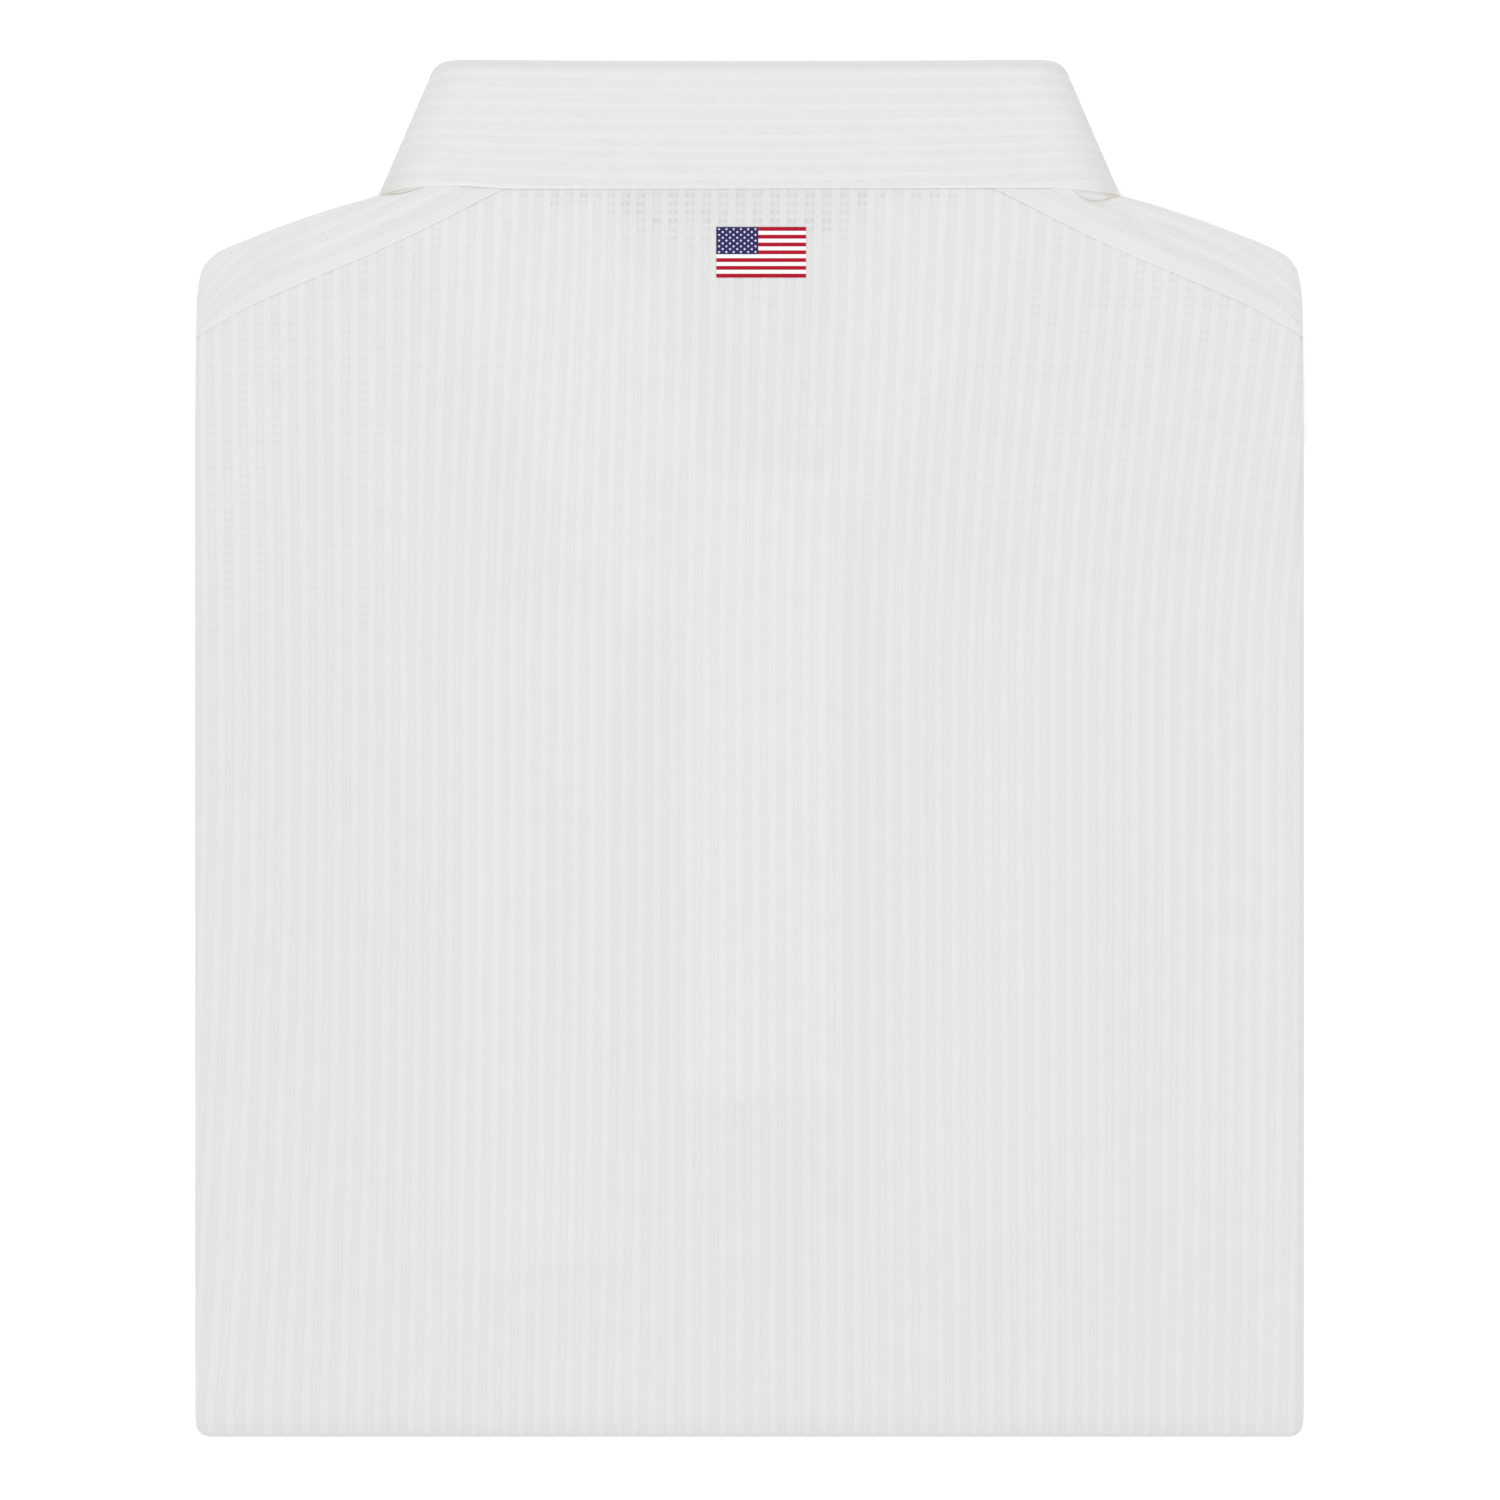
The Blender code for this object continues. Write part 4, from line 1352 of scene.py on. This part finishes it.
def button_profile():
    """Half section of a button, from the middle of its upper face round to the middle of its dish."""
    edge, shoulder = BUTTON_RADIUS - BUTTON_RIM, BUTTON_RADIUS - BUTTON_SHOULDER
    return (
        (0, 0),
        (edge, 0),
        (shoulder, -BUTTON_SHOULDER),
        (BUTTON_RADIUS, -BUTTON_RIM),
        (BUTTON_RADIUS, BUTTON_RIM - BUTTON_THICK),
        (shoulder, BUTTON_SHOULDER - BUTTON_THICK),
        (edge, -BUTTON_THICK),
        (DISH_RADIUS + DISH_DEPTH, -BUTTON_THICK),
        (DISH_RADIUS, DISH_Z),
        (0, DISH_Z),
    )


def button_cutter():
    """The four holes of a button, as one object to cut with."""
    holes = bmesh.new()
    for x in (-HOLE_REACH, HOLE_REACH):
        for y in (-HOLE_REACH, HOLE_REACH):
            bmesh.ops.create_cone(
                holes, cap_ends=True, segments=HOLE_STEPS, radius1=HOLE_RADIUS * MM, radius2=HOLE_RADIUS * MM,
                depth=3 * BUTTON_THICK * MM, matrix=Matrix.Translation((x * MM, y * MM, 0)),
            )
    mesh = bpy.data.meshes.new("holes")
    holes.to_mesh(mesh)
    holes.free()
    return new_object("holes", mesh)


def button_disc(name, place, material):
    """Dished button with four holes, turned about its axis."""
    profile = button_profile()
    mesh = bpy.data.meshes.new(name)
    edges = [(i, i + 1) for i in range(len(profile) - 1)]
    mesh.from_pydata([(r * MM, 0, z * MM) for r, z in profile], edges, [])
    made = add_piece(name + "_disc", mesh, material, (name,))
    lathe = made.modifiers.new("turned", "SCREW")
    lathe.axis = "Z"
    lathe.steps = BUTTON_STEPS
    lathe.render_steps = BUTTON_STEPS
    lathe.use_merge_vertices = True
    lathe.merge_threshold = JOIN_DISTANCE * MM
    lathe.use_normal_calculate = True
    cutter = button_cutter()
    cut = made.modifiers.new("holes", "BOOLEAN")
    cut.operation = "DIFFERENCE"
    cut.solver = "EXACT"
    cut.object = cutter
    apply_modifiers(made)
    bpy.data.objects.remove(cutter, do_unlink=True)
    made.data.transform(place)


def button_threads(name, place, thread):
    """Thread that crosses from hole to hole, a few turns each way."""
    paths = []
    for sign in (-1, 1):
        start = Vector((-HOLE_REACH, -sign * HOLE_REACH, 0))
        heights = (
            # share of the way, height
            (0, THREAD_END_Z),
            (0.08, DISH_Z - THREAD_LIFT),
            (0.5, DISH_Z - THREAD_ARCH - THREAD_CROSSING * (sign > 0)),
            (0.92, DISH_Z - THREAD_LIFT),
            (1, THREAD_END_Z),
        )
        for step in BUTTON_THREADS:
            aside = Vector((sign * step, -step, 0))
            path = [start.lerp(-start, share) + aside + Vector((0, 0, height)) for share, height in heights]
            paths.append([place @ (spot * MM) / MM for spot in path])
    thread_piece(name + "_thread", paths, BUTTON_THREAD_RADIUS, thread)


def button(name, y, pearl, thread):
    """Button tilted with the cloth that it lies on, and its thread."""
    tilt = math.atan2(under_height(y + 1) - under_height(y - 1), 2.0)
    turned = Matrix.Rotation(tilt, 4, "X")
    place = Matrix.Translation((0, y * MM, (under_height(y) - BUTTON_GAP) * MM)) @ turned
    button_disc(name, place, pearl)
    button_threads(name, place, thread)


def fill(tree, socket, value):
    """Give a socket a number or a colour, or join another node's output to it."""
    if isinstance(value, (int, float, tuple)):
        socket.default_value = value
    else:
        tree.links.new(value, socket)


def math_node(tree, operation, *values, clamp=False):
    """Output of a maths node."""
    node = tree.nodes.new("ShaderNodeMath")
    node.operation = operation
    node.use_clamp = clamp
    for socket, value in zip(node.inputs, values):
        fill(tree, socket, value)
    return node.outputs[0]


def plus(tree, first, *others, clamp=False):
    """Sum of all of these."""
    for other in others:
        first = math_node(tree, "ADD", first, other, clamp=clamp)
    return first


def times(tree, first, *others, clamp=False):
    """Product of all of these."""
    for other in others:
        first = math_node(tree, "MULTIPLY", first, other, clamp=clamp)
    return first


def graded(tree, value, rate, start, clamp=False):
    """Value times rate, plus start."""
    return math_node(tree, "MULTIPLY_ADD", value, rate, start, clamp=clamp)


def parts_of(tree, vector):
    """The three numbers of a vector."""
    node = tree.nodes.new("ShaderNodeSeparateXYZ")
    tree.links.new(vector, node.inputs[0])
    return node.outputs


def noise_node(tree, vector, scale, detail):
    """Soft noise from 0 to 1 at a vector."""
    node = tree.nodes.new("ShaderNodeTexNoise")
    node.inputs["Scale"].default_value = scale
    node.inputs["Detail"].default_value = detail
    tree.links.new(vector, node.inputs["Vector"])
    return node.outputs["Fac"]


def cloth_noise(tree, across, along, across_scale, along_scale, detail=1.0):
    """Noise from 0 to 1, stretched over two directions."""
    place = tree.nodes.new("ShaderNodeCombineXYZ")
    fill(tree, place.inputs[0], times(tree, across, across_scale))
    fill(tree, place.inputs[1], times(tree, along, along_scale))
    return noise_node(tree, place.outputs[0], 1.0, detail)


def uneven(tree, across, along, across_scale, along_scale, weight, detail):
    """The same about zero, times a weight."""
    noise = cloth_noise(tree, across, along, across_scale, along_scale, detail)
    return times(tree, math_node(tree, "SUBTRACT", noise, 0.5), weight)


def ramp_node(tree, factor, stops):
    """Grey ramp through stops of place and value."""
    node = tree.nodes.new("ShaderNodeValToRGB")
    ramp = node.color_ramp
    while len(ramp.elements) < len(stops):
        ramp.elements.new(0.5)
    for element, (place, value) in zip(ramp.elements, stops):
        element.position = place
        element.color = (value, value, value, 1)
    tree.links.new(factor, node.inputs["Fac"])
    return node.outputs["Color"]


def soft_step(tree, value, start, end):
    """Smooth step from 0 at start to 1 at end, or the other way where start is the larger."""
    node = tree.nodes.new("ShaderNodeMapRange")
    node.interpolation_type = "SMOOTHSTEP"
    node.inputs["From Min"].default_value = start
    node.inputs["From Max"].default_value = end
    tree.links.new(value, node.inputs["Value"])
    return node.outputs["Result"]


def mixed(tree, factor, first, second):
    """Colour between two colours."""
    node = tree.nodes.new("ShaderNodeMix")
    node.data_type = "RGBA"
    tree.links.new(factor, node.inputs["Factor"])
    fill(tree, node.inputs["A"], first)
    fill(tree, node.inputs["B"], second)
    return node.outputs["Result"]


def add_bump(tree, shader, height, strength, distance):
    """Let a height tilt the surface that the shader sees."""
    bump = tree.nodes.new("ShaderNodeBump")
    bump.inputs["Strength"].default_value = strength
    bump.inputs["Distance"].default_value = distance * MM
    tree.links.new(height, bump.inputs["Height"])
    tree.links.new(bump.outputs["Normal"], shader.inputs["Normal"])


def principled(name, roughness, specular):
    """New material, with its node tree and shader."""
    material = bpy.data.materials.new(name)
    material.use_nodes = True
    shader = material.node_tree.nodes["Principled BSDF"]
    shader.inputs["Roughness"].default_value = roughness
    shader.inputs["Specular IOR Level"].default_value = specular
    return material, material.node_tree, shader


def object_place(tree):
    """Place of a point in its object."""
    return tree.nodes.new("ShaderNodeTexCoord").outputs["Object"]


def within(tree, x, y, side_x, lean, soft):
    """Soft step across a slanted side, given by its x at one height; soft below 0 is a right side."""
    if lean:
        x = math_node(tree, "SUBTRACT", x, times(tree, y, lean))
    side_x -= lean * LEAN_FROM_Y
    return soft_step(tree, x, side_x - soft, side_x + soft)


def layer_and_shade_tones(tree):
    """Tone, warmth and strength of the ticks that the layers beneath, and the painted shade, give the back's
    upper face.
    """
    x, y, z = [times(tree, part, 1 / MM) for part in parts_of(tree, object_place(tree))]
    x = plus(tree, x, uneven(tree, x, y, *LAYER_SWAY_X))
    y = plus(tree, y, uneven(tree, x, y, *LAYER_SWAY_Y))
    above = soft_step(tree, z, *SHOWN_ABOVE_Z)
    totals = [0.0, 0.0, 0.0]
    for left, left_lean, right, right_lean, low, high, soft, *amounts in LAYERS_AND_PAINTED_SHADE:
        inside = times(
            tree,
            above,
            within(tree, x, y, left, left_lean, soft),
            within(tree, x, y, right, right_lean, -soft),
            soft_step(tree, y, low - soft, low + soft),
            soft_step(tree, y, high + soft, high - soft),
        )
        for i, amount in enumerate(amounts):
            if amount:
                totals[i] = graded(tree, inside, amount, totals[i])
    return totals


def dash_rows(tree, across, along):
    """Strength of the dark ticks of one layer over another: wavering rows across the stripes."""
    sway = uneven(tree, across, along, *TICK_SWAY)
    turn = plus(tree, times(tree, along, 2 * math.pi / TICK_PITCH), sway)
    wave = graded(tree, math_node(tree, "SINE", turn), 0.5, 0.5)
    return math_node(tree, "POWER", wave, TICK_POWER)


def striped_cloth(name, shades, contrast=1.0, ticks=0.06, weight=SHADE_WEIGHT, backed=False):
    """Seersucker: smooth and open bands, thread lines, cross ticks and a fine uneven grain."""
    material, tree, shader = principled(name, 0.9, 0.2)
    cloth = tree.nodes.new("ShaderNodeAttribute")
    cloth.attribute_name = "weave"
    across, along, shade = parts_of(tree, cloth.outputs["Vector"])
    grain, threads, streaks, patches, sway = [
        uneven(tree, across, along, *kind) for kind in (GRAIN, THREADS, STREAKS, PATCHES, STRIPE_SWAY)
    ]
    phase = math_node(tree, "FRACT", plus(tree, across, sway))
    bands = ramp_node(tree, phase, STRIPE_TONE)
    columns = ramp_node(tree, phase, THREAD_COLUMNS)
    banded = times(tree, math_node(tree, "SUBTRACT", bands, 0.5), BAND_WEIGHT * contrast)
    tone = 0.0
    if backed:
        tone, warmth, layer_and_shadow_ticks = layer_and_shade_tones(tree)
        ticks = plus(tree, layer_and_shadow_ticks, ticks, clamp=True)
        banded = times(tree, banded, graded(tree, ticks, -TICKED_BANDS, 1.0))
        dash = dash_rows(tree, across, along)
    else:
        dash = soft_step(tree, cloth_noise(tree, across, along, *FINE_DASHES), *DASH_RANGE)
    wander = soft_step(tree, cloth_noise(tree, across, along, *TICK_WANDER), *TICK_RANGE)
    dark_ticks = times(tree, dash, columns, ticks, graded(tree, wander, *TICK_STRENGTH))

    # painted light and shade of each point, with the tone of layers showing through
    shade_and_layers = times(tree, plus(tree, math_node(tree, "MAXIMUM", shade, -1.0), tone), weight)
    total = plus(tree, banded, grain, threads, streaks, patches, shade_and_layers)
    factor = plus(tree, total, 0.5, clamp=True)
    colour = mixed(tree, factor, *shades)
    if backed:
        streaked = graded(tree, cloth_noise(tree, across, along, *WARM_WANDER), *WARM_STRENGTH)
        warm = mixed(tree, factor, *WARM_SHADES)
        colour = mixed(tree, times(tree, warmth, streaked, clamp=True), colour, warm)
    colour = mixed(tree, times(tree, dark_ticks, TICK_WEIGHT, clamp=True), colour, TICK_COLOUR)
    # painted shadow: toward khaki-brown where the shade runs below -1
    hollow = graded(tree, shade, -1.0, -1.0, clamp=True)
    fill(tree, shader.inputs["Base Color"], mixed(tree, hollow, colour, PAINTED_SHADOW_COLOUR))

    height = plus(tree, times(tree, bands, BAND_RELIEF), grain, threads)
    add_bump(tree, shader, graded(tree, dark_ticks, TICK_RELIEF, height), *CLOTH_BUMP)
    fill(tree, shader.inputs["Roughness"], graded(tree, grain, *CLOTH_ROUGHNESS, clamp=True))
    return material


def plain_material(name, colour, roughness, grain_scale, grain_depth, specular=0.5):
    """Near-even material with a slight uneven grain in tone, roughness and height."""
    material, tree, shader = principled(name, roughness, specular)
    noise = noise_node(tree, object_place(tree), grain_scale, 3.0)
    darker = (*[value * (1 - grain_depth) for value in colour[:3]], 1)
    fill(tree, shader.inputs["Base Color"], mixed(tree, noise, darker, colour))
    rough = plus(tree, times(tree, noise, PLAIN_ROUGHNESS), roughness - PLAIN_ROUGHNESS / 2, clamp=True)
    fill(tree, shader.inputs["Roughness"], rough)
    add_bump(tree, shader, noise, *PLAIN_BUMP)
    return material


def add_floor():
    """Pale floor that glows a little, so that it stays white."""
    bpy.ops.mesh.primitive_plane_add(size=FLOOR_SIZE, location=(0, 0, -FLOOR_DROP))
    floor = bpy.context.object
    floor.name = "floor"
    paint = plain_material("floor_paint", FLOOR_WHITE, 0.9, 40.0, 0.01)
    shader = paint.node_tree.nodes["Principled BSDF"]
    shader.inputs["Emission Color"].default_value = (1, 1, 1, 1)
    shader.inputs["Emission Strength"].default_value = FLOOR_GLOW
    floor.data.materials.append(paint)


def add_lights():
    """Soft light from all round and above."""
    world = bpy.data.worlds.new("studio")
    bpy.context.scene.world = world
    world.use_nodes = True
    background = world.node_tree.nodes["Background"]
    background.inputs["Color"].default_value = (1, 1, 1, 1)
    background.inputs["Strength"].default_value = WORLD_STRENGTH
    lamp = bpy.data.lights.new("softbox", "AREA")
    lamp.size = SOFTBOX_SIZE
    lamp.energy = SOFTBOX_POWER
    made = new_object("softbox", lamp)
    made.location = SOFTBOX_PLACE
    made.rotation_euler = Vector(SOFTBOX_PLACE).to_track_quat("Z", "Y").to_euler()


def add_camera():
    """Camera straight above the shirt, as in the photo."""
    camera = bpy.data.cameras.new("camera")
    camera.lens = CAMERA_LENS
    camera.sensor_width = SENSOR_WIDTH
    camera.clip_end = 100.0
    view = new_object("camera", camera)
    distance = CAMERA_LENS / SENSOR_WIDTH * VIEW_WIDTH
    view.location = (VIEW_MIDDLE[0] * MM, VIEW_MIDDLE[1] * MM, (distance + MID_Z) * MM)
    bpy.context.scene.camera = view
    bpy.context.scene.view_settings.view_transform = "Standard"


def build():
    """Make every visible piece, the stage and the camera."""
    back = striped_cloth("back_cloth", CLOTH_SHADES, backed=True)
    hidden = striped_cloth("folded_cloth", CLOTH_SHADES)
    shoulder = striped_cloth("yoke_cloth", YOKE_SHADES, contrast=0.55, ticks=0.34)
    collar = striped_cloth("collar_cloth", COLLAR_SHADES, contrast=0.6, ticks=0.24, weight=0.5)
    thread = plain_material("sewing_thread", THREAD_COLOUR, 0.8, 3000.0, 0.1)
    pearl = plain_material("pearl_button", PEARL_COLOUR, 0.3, 150.0, 0.08)

    cloth_piece("back", back_rows(), BODY_WALL, back, "body_cloth", "back_panel")
    for name, node, side, band, bend in YOKE_SIDES:
        rows = yoke_rows(band, bend)
        cloth_piece(name, rows if side > 0 else mirrored(rows), YOKE_WALL, shoulder, "yoke_cloth", node)
    front = patch(14, 12, front_place, 0.0, (FLAT_CELL, FLAT_CELL))
    strip = patch(2, 7, placket_place, 0.0, (PLACKET_CELL, FLAT_CELL))
    sleeve = patch(4, 4, sleeve_place, SLEEVE_TURN, (SLEEVE_CELL, SLEEVE_CELL))
    pieces = (
        # name, rows, wall, material, slot, node
        ("collar", leaf_rows()[::-1], LEAF_WALL, collar, "collar_cloth", "collar_leaf"),
        ("neckband", stand_rows()[::-1], DOUBLE_WALL, collar, "collar_cloth", "collar_stand"),
        ("front", front, BODY_WALL, hidden, "body_cloth", "front_panel"),
        ("front_strip", strip, DOUBLE_WALL, hidden, "collar_cloth", "placket"),
        ("right_sleeve", sleeve, DOUBLE_WALL, hidden, "body_cloth", "sleeve_right"),
        ("left_sleeve", mirrored(sleeve), DOUBLE_WALL, hidden, "body_cloth", "sleeve_left"),
    )
    for piece in pieces:
        cloth_piece(*piece)
    for fold in INNER_FOLDS:
        inner_fold(*fold, hidden)
    paints = [plain_material(name, colour, 0.8, 900.0, depth, 0.1) for name, colour, depth in FLAG_PAINTS]
    printed_flag(paints)
    for name, y in BUTTONS:
        button(name, y, pearl, thread)
    stitches(thread)
    add_floor()
    add_lights()
    add_camera()


build()
